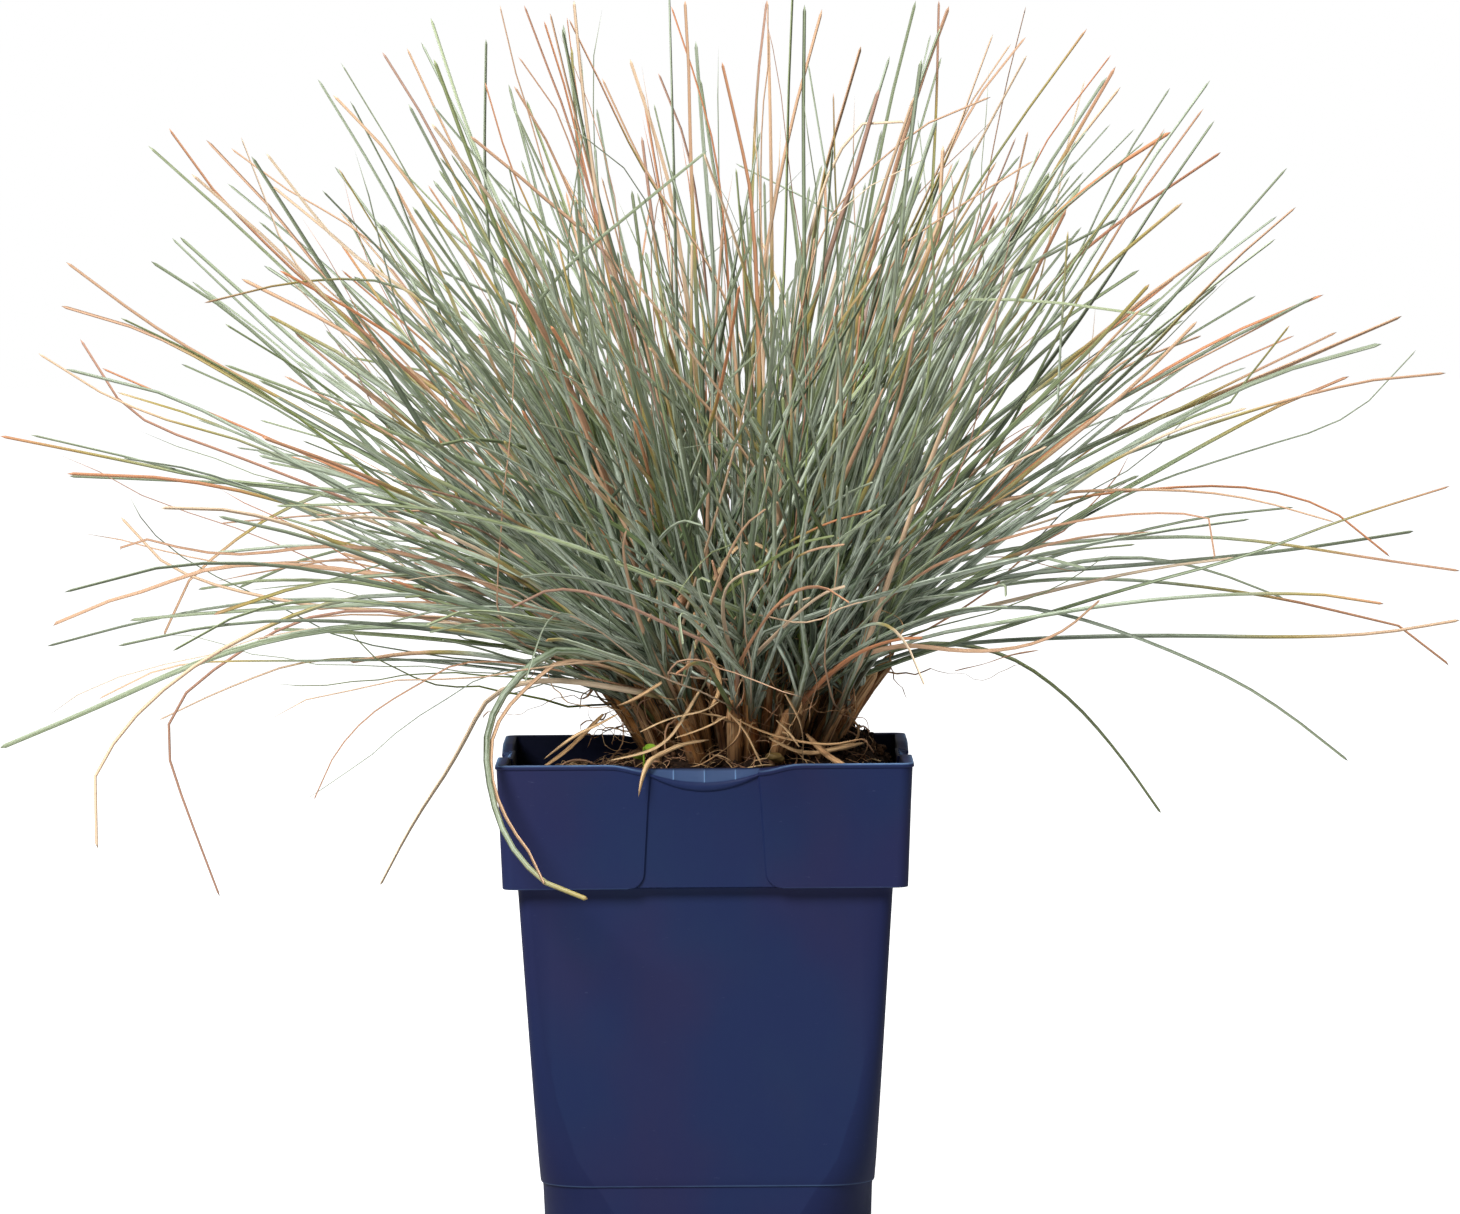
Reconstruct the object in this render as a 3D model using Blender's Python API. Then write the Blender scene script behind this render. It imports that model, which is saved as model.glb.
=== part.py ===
# Blue fescue clump in a square plastic pot.
# Metres, +Z up. The origin is the centre of the pot's underside, and -Y is the front.

import math
import random

import bmesh
import bpy
import numpy as np
from mathutils import Vector
from mathutils.bvhtree import BVHTree

# Pot
POT_HEIGHT = 0.102
RIM_WIDTH = 0.090
RIM_FLANGE = 0.0022
RIM_LIP = 0.0009
COLLAR_HEIGHT = 0.0269
COLLAR_FOOT_WIDTH = 0.0872
BODY_TOP_WIDTH = 0.0808
FOOT_WIDTH = 0.0726
FOOT_LINE = 0.0089
BASE_WIDTH = 0.0712
WALL = 0.0012
FLOOR = 0.0016
RIM_CORNER = 0.0026
PANEL_PROUD = 0.0006
PANEL_EDGE_TOP = 0.0121
PANEL_EDGE_FOOT = 0.0137
DIP_OUTSIDE = 0.0056
DIP_INSIDE = 0.0009
DIP_END = 0.0235
LEDGE_TOP = 0.0022
LEDGE_FOOT = 0.0008
DRAIN_HOLE = 0.008
DRAIN_SPREAD = 0.021

# Potting mix
GAP = 0.0003
MIX_LEVEL = POT_HEIGHT - 0.0045
MIX_LUMPS = 0.0007

# Leaf tufts
CROWN = Vector((0.009, 0.002, 0.0))
TUFT_RINGS = ((0.0, 1), (0.0088, 6), (0.0163, 11), (0.0236, 15))
RING_LEAN = (3, 13, 25, 36)
BLADE_LEAN = ((0, 14), (8, 34), (26, 58), (46, 92))
BLADE_LENGTH = ((0.140, 0.152), (0.132, 0.150), (0.122, 0.146), (0.108, 0.138))
SHEATH_WIDTH = 0.0058
SHEATH_HEIGHT = 0.021
BLADES_PER_TUFT = 7
BLADE_WIDTH = 0.0019
TIP_WIDTH = 0.0007
BLADE_STEPS = 5
LOW_CURVE_STEPS = 6

# The blades that reach furthest in the photograph:
# the tip's x, y and z in millimetres, then how far the blade leans from upright, in degrees,
# where it leaves its tuft and at its tip.
FAR_BLADES = (
    (-160, -34, 101, 58, 112),
    (-133, -74, 79, 62, 172),
    (-106, -92, 70, 66, 168),
    (-72, 96, 72, 60, 164),
    (-121, 66, 127, 52, 165),
    (-145, 40, 129, 60, 118),
    (-158, 8, 171, 52, 80),
    (-141, -40, 168, 46, 92),
    (-24, -62, 74, 40, 184),
    (101, -92, 88, 62, 146),
    (143, -64, 99, 62, 122),
    (168, 12, 131, 64, 82),
    (167, -30, 161, 54, 76),
    (166, 44, 121, 50, 148),
    (152, 60, 145, 44, 130),
    (132, -20, 222, 34, 50),
    (115, 42, 234, 24, 44),
    (154, 34, 198, 44, 66),
    (91, -42, 256, 20, 34),
    (52, 30, 274, 10, 16),
    (-45, -30, 268, 12, 22),
    (-29, 36, 275, 8, 12),
    (14, -14, 274, 2, 4),
    (-4, 22, 272, 4, 8),
    (-119, 30, 240, 36, 48),
    (-82, -44, 247, 26, 38),
    (-142, -16, 210, 44, 66),
    (164, -6, 186, 48, 78),
    (30, -156, 150, 56, 92),
    (-40, -150, 118, 62, 128),
    (76, -140, 168, 50, 78),
    (-90, -124, 172, 50, 76),
    (12, 158, 150, 56, 92),
    (-60, 146, 140, 58, 104),
    (84, 136, 122, 60, 124),
    (46, -112, 228, 34, 46),
    (-30, 112, 232, 34, 46),
    (60, 108, 226, 34, 50),
)

# The weed seedling's foot
SEEDLING_FOOT = (-0.0130, -0.0285)

# Dry leaves lying about the crown: points along each, in millimetres.
DRY_LEAF_WIDTH = 0.0013
DRY_LEAVES = {
    "dry_leaf_over_rim": (
        (1, -27, 106), (-5, -33, 105.5), (-9.5, -39.5, 103.8), (-12, -44.6, 102.9),
        (-13.4, -47.1, 99.6), (-14.2, -47.3, 95.2),
    ),
    "dry_leaf_left": (
        (-22, -17, 111), (-27, -20, 106), (-31, -24, 102.6), (-36, -27, 99.6),
    ),
    "dry_leaf_right": (
        (14, -30, 106.5), (21, -31, 102.8), (28, -27, 103.6), (35, -18, 104.5),
    ),
    "dry_leaf_front": (
        (22, -25, 107), (26, -31, 103), (31, -36, 100.2), (35, -39, 98.9),
    ),
}


def material(name, colour, roughness):
    made = bpy.data.materials.new(name)
    made.use_nodes = True
    shader = made.node_tree.nodes["Principled BSDF"]
    shader.inputs["Base Color"].default_value = (*colour, 1.0)
    shader.inputs["Roughness"].default_value = roughness
    shader.inputs["Metallic"].default_value = 0.0
    made.diffuse_color = (*colour, 1.0)
    return made


def add_object(name, bm, finish, smooth_angle=40):
    bmesh.ops.recalc_face_normals(bm, faces=bm.faces)
    mesh = bpy.data.meshes.new(name)
    bm.to_mesh(mesh)
    bm.free()
    mesh.materials.append(finish)
    mesh.shade_smooth()
    mesh.set_sharp_from_angle(angle=math.radians(smooth_angle))
    obj = bpy.data.objects.new(name, mesh)
    bpy.context.scene.collection.objects.link(obj)
    return obj


def smoothstep(low, high, value):
    t = min(max((value - low) / (high - low), 0.0), 1.0)
    return t * t * (3 - 2 * t)


def square_outline(half, radius, stations, corner_steps):
    """The points of a rounded square, from the front side round, each as (x, y, along).

    Along is the distance from the middle of the point's own side, and None on a corner."""
    points = []
    centre = half - radius
    squeeze = min(1.0, 0.95 * centre / stations[-1])
    for side in range(4):
        turn = side * math.pi / 2
        c, s = math.cos(turn), math.sin(turn)
        flat = [(u * squeeze, -half, u) for u in stations]
        arc = []
        for step in range(corner_steps + 1):
            angle = -math.pi / 2 + step * math.pi / 2 / corner_steps
            arc.append(
                (centre + radius * math.cos(angle), -centre + radius * math.sin(angle), None)
            )
        points += [(x * c - y * s, x * s + y * c, u) for x, y, u in flat + arc]
    return points


def bridge(bm, lower, upper):
    for i in range(len(lower)):
        j = (i + 1) % len(lower)
        bm.faces.new((lower[i], lower[j], upper[j], upper[i]))


def dip(along, depth):
    """How far the rim drops at this distance from the middle of its side."""
    if along is None:
        return 0.0
    u = abs(along)
    edge = PANEL_EDGE_TOP
    if u < edge - 0.0004:
        return depth * (1 - 0.24 * (u / edge) ** 2)
    return depth * 0.34 * (1 - smoothstep(edge, DIP_END, u))


def pot_outline(z, half, radius, panel_edge, proud, drop):
    """One level of the pot's skin, with the middle of each side set back by proud."""
    inner_edge = panel_edge - 0.0007
    stations = (-DIP_END, -0.0175, -panel_edge, -inner_edge, -0.0058, 0,
                0.0058, inner_edge, panel_edge, 0.0175, DIP_END)
    level = []
    for x, y, along in square_outline(half, radius, stations, 5):
        middle = along is not None and abs(along) < panel_edge - 0.0003
        inward = proud if middle else 0.0
        side_x, side_y = (abs(x) > abs(y)), (abs(y) >= abs(x))
        px = x - math.copysign(inward, x) if side_x else x
        py = y - math.copysign(inward, y) if side_y else y
        level.append(Vector((px, py, z - dip(along, drop))))
    return level


def body_half(z):
    """Half the outer width of the pot's body at a height."""
    share = (z - FOOT_LINE) / (POT_HEIGHT - COLLAR_HEIGHT - FOOT_LINE)
    return (FOOT_WIDTH + (BODY_TOP_WIDTH - FOOT_WIDTH) * share) / 2


def make_pot(finish):
    collar_foot = POT_HEIGHT - COLLAR_HEIGHT
    rim, foot = RIM_WIDTH / 2, COLLAR_FOOT_WIDTH / 2
    edge_top, edge_foot = PANEL_EDGE_TOP, PANEL_EDGE_FOOT
    lip = POT_HEIGHT - RIM_LIP
    # z, half width, corner radius, panel edge, set-back of the middle, drop of the rim
    skin = [
        (0.0, BASE_WIDTH / 2 - 0.0030, 0.0145, edge_foot, 0, 0),
        (0.0009, BASE_WIDTH / 2 - 0.0010, 0.0160, edge_foot, 0, 0),
        (0.0030, BASE_WIDTH / 2, 0.0160, edge_foot, 0, 0),
        (FOOT_LINE - 0.0003, body_half(FOOT_LINE) - 0.0003, 0.0123, edge_foot, 0, 0),
        (FOOT_LINE, body_half(FOOT_LINE), 0.0123, edge_foot, 0, 0),
    ]
    for z, radius in ((0.016, 0.0083), (0.029, 0.0049), (0.043, 0.0034)):
        skin.append((z, body_half(z), radius, edge_foot, 0, 0))
    skin += [
        (collar_foot, BODY_TOP_WIDTH / 2, 0.0027, edge_foot, 0, 0),
        (collar_foot, foot - 0.0003, RIM_CORNER, edge_foot, PANEL_PROUD, 0),
        (collar_foot + 0.0005, foot, RIM_CORNER, edge_foot, PANEL_PROUD, 0),
        (lip - 0.0002, rim - 0.0004, RIM_CORNER, edge_top, PANEL_PROUD, DIP_OUTSIDE),
        (lip, rim, RIM_CORNER, edge_top, PANEL_PROUD, DIP_OUTSIDE),
        (POT_HEIGHT - 0.0002, rim, RIM_CORNER, edge_top, PANEL_PROUD, DIP_OUTSIDE - 0.0006),
        (POT_HEIGHT, rim - 0.0004, RIM_CORNER, edge_top, PANEL_PROUD, DIP_OUTSIDE - 0.0008),
        (POT_HEIGHT, rim - RIM_FLANGE, RIM_CORNER - 0.0009, edge_top, 0, DIP_INSIDE),
        (POT_HEIGHT - 0.0070, rim - RIM_FLANGE, RIM_CORNER - 0.0009, edge_top, 0, 0),
        (POT_HEIGHT - 0.0078, rim - WALL - PANEL_PROUD - 0.0006, 0.0018, edge_top, 0, 0),
        (collar_foot + LEDGE_TOP, foot - WALL - PANEL_PROUD, 0.0018, edge_top, 0, 0),
        (collar_foot + LEDGE_FOOT, BODY_TOP_WIDTH / 2 - WALL - 0.0002, 0.0018, edge_top, 0, 0),
        (0.029, body_half(0.029) - WALL, 0.0038, edge_top, 0, 0),
        (0.012, body_half(0.012) - WALL, 0.0090, edge_top, 0, 0),
        (FLOOR, BASE_WIDTH / 2 - WALL - 0.0010, 0.0140, edge_top, 0, 0),
    ]
    bm = bmesh.new()
    levels = [[bm.verts.new(p) for p in pot_outline(*level)] for level in skin]
    for lower, upper in zip(levels, levels[1:]):
        bridge(bm, lower, upper)
    bm.faces.new(levels[0])
    bm.faces.new(levels[-1])
    pot = add_object("pot", bm, finish)

    holes = bmesh.new()
    for sx in (-1, 1):
        for sy in (-1, 1):
            made = bmesh.ops.create_cone(
                holes, cap_ends=True, segments=12, depth=6 * FLOOR,
                radius1=DRAIN_HOLE / 2, radius2=DRAIN_HOLE / 2,
            )
            move = Vector((sx * DRAIN_SPREAD, sy * DRAIN_SPREAD, 0))
            bmesh.ops.translate(holes, verts=made["verts"], vec=move)
    cutter = add_object("drain_hole_cutter", holes, finish)
    cutter.hide_render = True
    cutter.display_type = "WIRE"
    cut = pot.modifiers.new("drain holes", "BOOLEAN")
    cut.operation = "DIFFERENCE"
    cut.object = cutter
    return pot


def mix_height(x, y):
    """The top of the potting mix: low on the left, banked up on the right and round the crown."""
    from_crown = math.hypot(x - CROWN.x, y - CROWN.y)
    slope = 0.0035 * smoothstep(-0.012, -0.040, x)
    bank = 0.0070 * math.exp(-(((x - 0.031) / 0.010) ** 2) - ((y - 0.012) / 0.016) ** 2)
    mound = 0.0058 * (1 - smoothstep(0.012, 0.034, from_crown))
    edge = 0.0025 * smoothstep(0.034, 0.041, max(abs(x), abs(y)))
    return MIX_LEVEL + mound + bank - slope - edge


def make_mix(finish):
    rng = random.Random(11)
    foot = COLLAR_FOOT_WIDTH / 2
    collar_foot = POT_HEIGHT - COLLAR_HEIGHT
    top_half = foot - WALL - PANEL_PROUD - GAP + 0.0004
    stations = (-0.0235, -0.0080, 0.0080, 0.0235)
    walls = [
        (FLOOR + GAP, BASE_WIDTH / 2 - WALL - 0.0010 - GAP, 0.0140),
        (0.012, body_half(0.012) - WALL - GAP, 0.0090),
        (0.029, body_half(0.029) - WALL - GAP, 0.0038),
        (collar_foot + LEDGE_FOOT + GAP, BODY_TOP_WIDTH / 2 - WALL - 0.0002 - GAP, 0.0018),
        (collar_foot + LEDGE_TOP + GAP, foot - WALL - PANEL_PROUD - GAP, 0.0018),
    ]
    bm = bmesh.new()
    levels = []
    for z, half, radius in walls:
        outline = square_outline(half, radius, stations, 3)
        levels.append([bm.verts.new((x, y, z)) for x, y, _ in outline])
    rim = square_outline(top_half, 0.0018, stations, 3)
    for share in (1.0, 0.86, 0.72, 0.56, 0.38, 0.18):
        ring = []
        for x, y, _ in rim:
            px, py = x * share, y * share
            calm = smoothstep(0.024, 0.032, math.hypot(px - CROWN.x, py - CROWN.y))
            lump = rng.uniform(-MIX_LUMPS, MIX_LUMPS) * calm
            ring.append(bm.verts.new((px, py, mix_height(px, py) + lump)))
        levels.append(ring)
    for lower, upper in zip(levels, levels[1:]):
        bridge(bm, lower, upper)
    bm.faces.new(levels[0])
    middle = bm.verts.new((0, 0, mix_height(0, 0)))
    last = levels[-1]
    for i in range(len(last)):
        bm.faces.new((last[i], last[(i + 1) % len(last)], middle))
    bmesh.ops.triangulate(bm, faces=bm.faces)
    return add_object("potting_mix", bm, finish, 60)


def lean_to_vector(lean, azimuth):
    """A unit vector that leans from upright by lean, towards azimuth, both in radians."""
    side = math.sin(lean)
    return Vector((side * math.cos(azimuth), side * math.sin(azimuth), math.cos(lean)))


class Clearance:
    """The centre lines laid so far, so that a new one can be kept clear of them all."""

    def __init__(self):
        self.starts = np.zeros((0, 3))
        self.ends = np.zeros((0, 3))
        self.radii = np.zeros(0)
        self.owners = np.zeros(0, dtype=int)

    def add(self, points, radii, owner):
        line = np.array([tuple(p) for p in points])
        self.starts = np.vstack([self.starts, line[:-1]])
        self.ends = np.vstack([self.ends, line[1:]])
        self.radii = np.append(self.radii, np.maximum(radii[:-1], radii[1:]))
        self.owners = np.append(self.owners, np.full(len(line) - 1, owner))

    def distances(self, start, end):
        """The least distance from one segment to each of those laid."""
        d1 = end - start
        d2 = self.ends - self.starts
        r = start - self.starts
        a = float(d1 @ d1)
        e = np.einsum("ij,ij->i", d2, d2)
        f = np.einsum("ij,ij->i", d2, r)
        c = r @ d1
        b = d2 @ d1
        nearly_parallel = 1e-14
        s = np.clip((b * f - c * e) / np.maximum(a * e - b * b, nearly_parallel), 0, 1)
        t = np.clip((b * s + f) / e, 0, 1)
        s = np.clip((b * t - c) / a, 0, 1)
        gap = (start + s[:, None] * d1) - (self.starts + t[:, None] * d2)
        return np.sqrt(np.einsum("ij,ij->i", gap, gap))

    def is_free(self, points, radii, owner):
        if not len(self.starts):
            return True
        line = np.array([tuple(p) for p in points])
        for i in range(len(line) - 1):
            reach = self.radii + max(radii[i], radii[i + 1]) + GAP
            near = self.distances(line[i], line[i + 1]) < reach
            if i < 2:
                near &= self.owners != owner
            if near.any():
                return False
        return True


def clears_pot(points):
    """True where a blade keeps off the pot, the mix and the ground."""
    line = [Vector(p) for p in points]
    samples = [a.lerp(b, k / 6) for a, b in zip(line[1:], line[2:]) for k in range(7)]
    outside = RIM_WIDTH / 2 + 0.0022
    for p in samples:
        over_pot = max(abs(p.x), abs(p.y)) < outside
        if over_pot and p.z < POT_HEIGHT + 0.0025:
            return False
    return True


def tapered(count, root, tip):
    return [root + (tip - root) * i / (count - 1) for i in range(count)]


def bent_path(start, normal, aim, length, droop, drift, steps):
    """A blade that leaves a face along its normal, turns to its aim, then droops by degrees."""
    points = [start, start + normal * 0.0011 + aim * 0.0020]
    lean = aim.angle(Vector((0, 0, 1)))
    azimuth = math.atan2(aim.y, aim.x)
    here = points[-1]
    step = (length - 0.003) / (steps - 1)
    for i in range(steps - 1):
        share = (i + 0.5) / (steps - 1)
        here = here + step * lean_to_vector(lean + droop * share**1.6, azimuth + drift * share)
        points.append(here)
    return points


def arched_path(start, normal, tip, root_lean, tip_lean, steps):
    """A blade from a face to a known tip: a cubic with the leans given at its two ends."""
    first = start + normal * 0.0011 + Vector((0, 0, 0.0015))
    reach = tip - first
    azimuth = math.atan2(reach.y, reach.x)
    pull = reach.length * 0.42
    a = first + lean_to_vector(math.radians(root_lean), azimuth) * pull
    b = tip - lean_to_vector(math.radians(tip_lean), azimuth) * pull
    points = [start]
    for i in range(steps):
        t = i / (steps - 1)
        u = 1 - t
        points.append(u**3 * first + 3 * u * u * t * a + 3 * u * t * t * b + t**3 * tip)
    return points


def is_sound(bm):
    """True where no face of a tuft passes through another."""
    bm.faces.index_update()
    bm.faces.ensure_lookup_table()
    tree = BVHTree.FromBMesh(bm)
    for i, j in tree.overlap(tree):
        if i < j and not set(bm.faces[i].verts) & set(bm.faces[j].verts):
            return False
    return True


def grow_blade(bm, face, points, radii):
    """Draws one triangular face of a tuft out along a path, to a point.

    Where that would pass through the rest of the tuft, it puts the face back and returns it."""
    root = list(face.verts)
    ring = root
    grown = []
    offsets = [v.co - points[0] for v in ring]
    bm.faces.remove(face)
    for i in range(1, len(points) - 1):
        ahead = (points[i + 1] - points[i - 1]).normalized()
        offsets = [o - ahead * o.dot(ahead) for o in offsets]
        offsets = [o.normalized() * radii[i] for o in offsets]
        after = [bm.verts.new(points[i] + o) for o in offsets]
        bridge(bm, ring, after)
        ring = after
        grown += after
    tip = bm.verts.new(points[-1])
    for i in range(3):
        bm.faces.new((ring[i], ring[(i + 1) % 3], tip))
    if is_sound(bm):
        return None
    bmesh.ops.delete(bm, geom=grown + [tip], context="VERTS")
    restored = bm.faces.new(root)
    bm.normal_update()
    return restored


def make_sheath(bm, base, axis, ground):
    """A tuft's papery base, six-sided. Returns the triangular faces that blades can grow from."""
    across = axis.orthogonal().normalized()
    up = axis.cross(across)
    rings = []
    for share, width in ((0.0, 0.84), (0.55, 1.0), (1.0, 0.74)):
        ring = []
        for i in range(6):
            angle = i * math.pi / 3
            spoke = (across * math.cos(angle) + up * math.sin(angle)) * SHEATH_WIDTH / 2 * width
            point = base + axis * SHEATH_HEIGHT * share + spoke
            if share == 0.0:
                point.z = ground(point.x, point.y) + GAP
            ring.append(bm.verts.new(point))
        rings.append(ring)
    root = bm.verts.new((base.x, base.y, ground(base.x, base.y) + GAP))
    crest = bm.verts.new(base + axis * (SHEATH_HEIGHT + 0.0009))
    bridge(bm, rings[0], rings[1])
    growing = []
    for i in range(6):
        j = (i + 1) % 6
        bm.faces.new((rings[0][j], rings[0][i], root))
        growing.append(bm.faces.new((rings[1][i], rings[1][j], rings[2][i])))
        growing.append(bm.faces.new((rings[1][j], rings[2][j], rings[2][i])))
        growing.append(bm.faces.new((rings[2][i], rings[2][j], crest)))
    bm.normal_update()
    return growing


def tuft_seats():
    """Where each tuft stands in the crown, and how its base leans."""
    seats = []
    for ring, (radius, count) in enumerate(TUFT_RINGS):
        for i in range(count):
            azimuth = 2 * math.pi * (i + 0.37 * ring) / count
            spot = CROWN + radius * Vector((math.cos(azimuth), math.sin(azimuth), 0))
            seats.append((ring, spot, azimuth))
    return seats


def share_far_blades(seats):
    """Gives each far-reaching blade to an outer tuft on its own side of the crown."""
    wanted = [[] for _ in seats]
    for row in FAR_BLADES:
        tip = Vector(row[:3]) / 1000
        azimuth = math.atan2(tip.y - CROWN.y, tip.x - CROWN.x)
        ring = 3 if row[3] > 44 else 2 if row[3] > 22 else 1
        best = min(
            (k for k, seat in enumerate(seats) if seat[0] == ring),
            key=lambda k: len(wanted[k]) * 0.5
            + abs(math.remainder(azimuth - seats[k][2], 2 * math.pi)),
        )
        wanted[best].append((tip, row[3], row[4]))
    return wanted


def make_tufts(finish, ground):
    rng = random.Random(5)
    seats = tuft_seats()
    wanted = share_far_blades(seats)
    laid = Clearance()
    tufts = []
    for owner, (ring, spot, azimuth) in enumerate(seats):
        bm = bmesh.new()
        lean = math.radians(RING_LEAN[ring])
        axis = lean_to_vector(lean, azimuth)
        base = Vector((spot.x, spot.y, ground(spot.x, spot.y) + GAP))
        growing = make_sheath(bm, base, axis, ground)
        laid.add([base, base + axis * SHEATH_HEIGHT], [SHEATH_WIDTH / 2] * 2, owner)
        tufts.append((bm, axis, azimuth, ring, growing))
    for owner, rows in enumerate(wanted):
        for row in rows:
            place_far_blade(tufts[owner], laid, owner, row, rng)
    for count in range(BLADES_PER_TUFT):
        for owner, tuft in enumerate(tufts):
            if len(wanted[owner]) + count < BLADES_PER_TUFT:
                place_blade(tuft, laid, owner, rng)
    for owner, tuft in enumerate(tufts):
        add_object(f"leaf_tuft_{owner + 1:02d}", tuft[0], finish, 75)


def grow_on_tuft(tuft, face, points, radii):
    """Grows a blade from one of a tuft's free faces. Returns whether it could."""
    growing = tuft[-1]
    place = growing.index(face)
    restored = grow_blade(tuft[0], face, points, radii)
    if restored:
        growing[place] = restored
        return False
    growing.pop(place)
    return True


def place_far_blade(tuft, laid, owner, row, rng):
    """Grows one blade to a known tip, with a little give so that it finds a clear way."""
    growing = tuft[-1]
    tip, root_lean, tip_lean = row
    way = (tip - growing[0].calc_center_median()).normalized()
    growing.sort(key=lambda face: -face.normal.dot(way + Vector((0, 0, 0.6))))
    for attempt in range(40):
        face = growing[min(attempt // 8, len(growing) - 1)]
        nudge = Vector((0, rng.uniform(-0.0005, 0.0005) * attempt, 0))
        start = face.calc_center_median()
        lean = root_lean + rng.uniform(-0.3, 0.3) * attempt
        points = arched_path(start, face.normal, tip + nudge, lean, tip_lean, LOW_CURVE_STEPS)
        radii = tapered(len(points), BLADE_WIDTH / 2, TIP_WIDTH / 2)
        if laid.is_free(points, radii, owner) and clears_pot(points):
            if grow_on_tuft(tuft, face, points, radii):
                laid.add(points, radii, owner)
                return
    print("a far blade found no way:", tuple(round(v * 1000) for v in tip))


def place_blade(tuft, laid, owner, rng):
    """Grows one blade of its ring's habit, or none if no draw finds a clear way."""
    _, axis, azimuth, ring, growing = tuft
    low, high = BLADE_LEAN[ring]
    for attempt in range(60):
        face = growing[rng.randrange(len(growing))]
        outward = face.normal - axis * face.normal.dot(axis)
        lean = math.radians(rng.uniform(low, high))
        swing = math.radians(rng.gauss(0, 16 if ring else 120))
        aim = lean_to_vector(lean, azimuth + swing)
        aim = (aim + outward * 0.22 + axis * 0.15).normalized()
        if face.normal.dot(aim) < 0.15:
            continue
        length = rng.uniform(*BLADE_LENGTH[ring]) * rng.choice((1, 1, 0.9, 0.78))
        droop = math.radians(rng.uniform(0, 16) + 22 * math.sin(lean) ** 2)
        drift = math.radians(rng.uniform(-10, 10))
        start = face.calc_center_median()
        points = bent_path(start, face.normal, aim, length, droop, drift, BLADE_STEPS)
        radii = tapered(len(points), BLADE_WIDTH / 2, TIP_WIDTH / 2)
        if laid.is_free(points, radii, owner) and clears_pot(points):
            if grow_on_tuft(tuft, face, points, radii):
                laid.add(points, radii, owner)
                return


def make_strip(name, points, width, finish):
    """A loose dry leaf: a three-sided strip, pointed at both ends."""
    line = [Vector(p) / 1000 for p in points]
    bm = bmesh.new()
    first = bm.verts.new(line[0])
    ahead = (line[1] - line[0]).normalized()
    side = ahead.orthogonal().normalized()
    turns = (0, 2 * math.pi / 3, 4 * math.pi / 3)
    offsets = [side * math.cos(a) + ahead.cross(side) * math.sin(a) for a in turns]
    ring = None
    for i in range(1, len(line) - 1):
        ahead = (line[i + 1] - line[i - 1]).normalized()
        offsets = [(o - ahead * o.dot(ahead)).normalized() for o in offsets]
        after = [bm.verts.new(line[i] + o * width / 2) for o in offsets]
        if ring is None:
            for k in range(3):
                bm.faces.new((first, after[(k + 1) % 3], after[k]))
        else:
            bridge(bm, ring, after)
        ring = after
    last = bm.verts.new(line[-1])
    for k in range(3):
        bm.faces.new((ring[k], ring[(k + 1) % 3], last))
    return add_object(name, bm, finish, 75)


def make_seedling(finish, ground):
    """A weed seedling: a thin stem that forks into two small spoon-shaped leaves."""
    x, y = SEEDLING_FOOT
    foot = Vector((x, y, ground(x, y) + GAP))
    fork = foot + Vector((0.0004, -0.0004, 0.0042))
    bm = bmesh.new()
    base = [bm.verts.new(foot + Vector((math.cos(a), math.sin(a), 0)) * 0.0005)
            for a in (0, 2 * math.pi / 3, 4 * math.pi / 3)]
    top = [bm.verts.new(fork + Vector((math.cos(a), math.sin(a), 0)) * 0.0005)
           for a in (0, 2 * math.pi / 3, 4 * math.pi / 3)]
    bm.faces.new(base[::-1])
    bridge(bm, base, top)
    crest = bm.verts.new(fork + Vector((0, 0, 0.0005)))
    faces = [bm.faces.new((top[i], top[(i + 1) % 3], crest)) for i in range(3)]
    bm.normal_update()
    for face, way in ((faces[0], Vector((0.7, -0.2, 0.5))), (faces[1], Vector((-0.8, -0.1, 0.1)))):
        start = face.calc_center_median()
        way = way.normalized()
        points = [start, start + way * 0.0012, start + way * 0.0030, start + way * 0.0046]
        grow_blade(bm, face, points, [0.0005, 0.0007, 0.0009, 0.0002])
    return add_object("seedling", bm, finish, 75)


def surface_height(obj):
    """A function that gives the height of an object's top surface."""
    tree = BVHTree.FromObject(obj, bpy.context.evaluated_depsgraph_get())

    def height(x, y):
        hit = tree.ray_cast(Vector((x, y, 1.0)), Vector((0, 0, -1)))
        return hit[0].z

    return height


def main():
    for obj in list(bpy.data.objects):
        bpy.data.objects.remove(obj)
    plastic = material("blue plastic", (0.030, 0.042, 0.104), 0.42)
    mix = material("potting mix", (0.030, 0.020, 0.013), 0.95)
    leaf = material("glaucous leaf", (0.200, 0.235, 0.150), 0.55)
    dry = material("dry leaf", (0.420, 0.270, 0.150), 0.70)
    weed = material("seedling leaf", (0.150, 0.260, 0.050), 0.50)

    make_pot(plastic)
    soil = make_mix(mix)
    bpy.context.view_layer.update()
    ground = surface_height(soil)
    make_tufts(leaf, ground)
    for name, points in DRY_LEAVES.items():
        make_strip(name, points, DRY_LEAF_WIDTH, dry)
    make_seedling(weed, ground)


main()
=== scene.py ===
import math

import bmesh
import bpy
import numpy as np
from mathutils import Matrix, Vector
from mathutils.bvhtree import BVHTree


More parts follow.
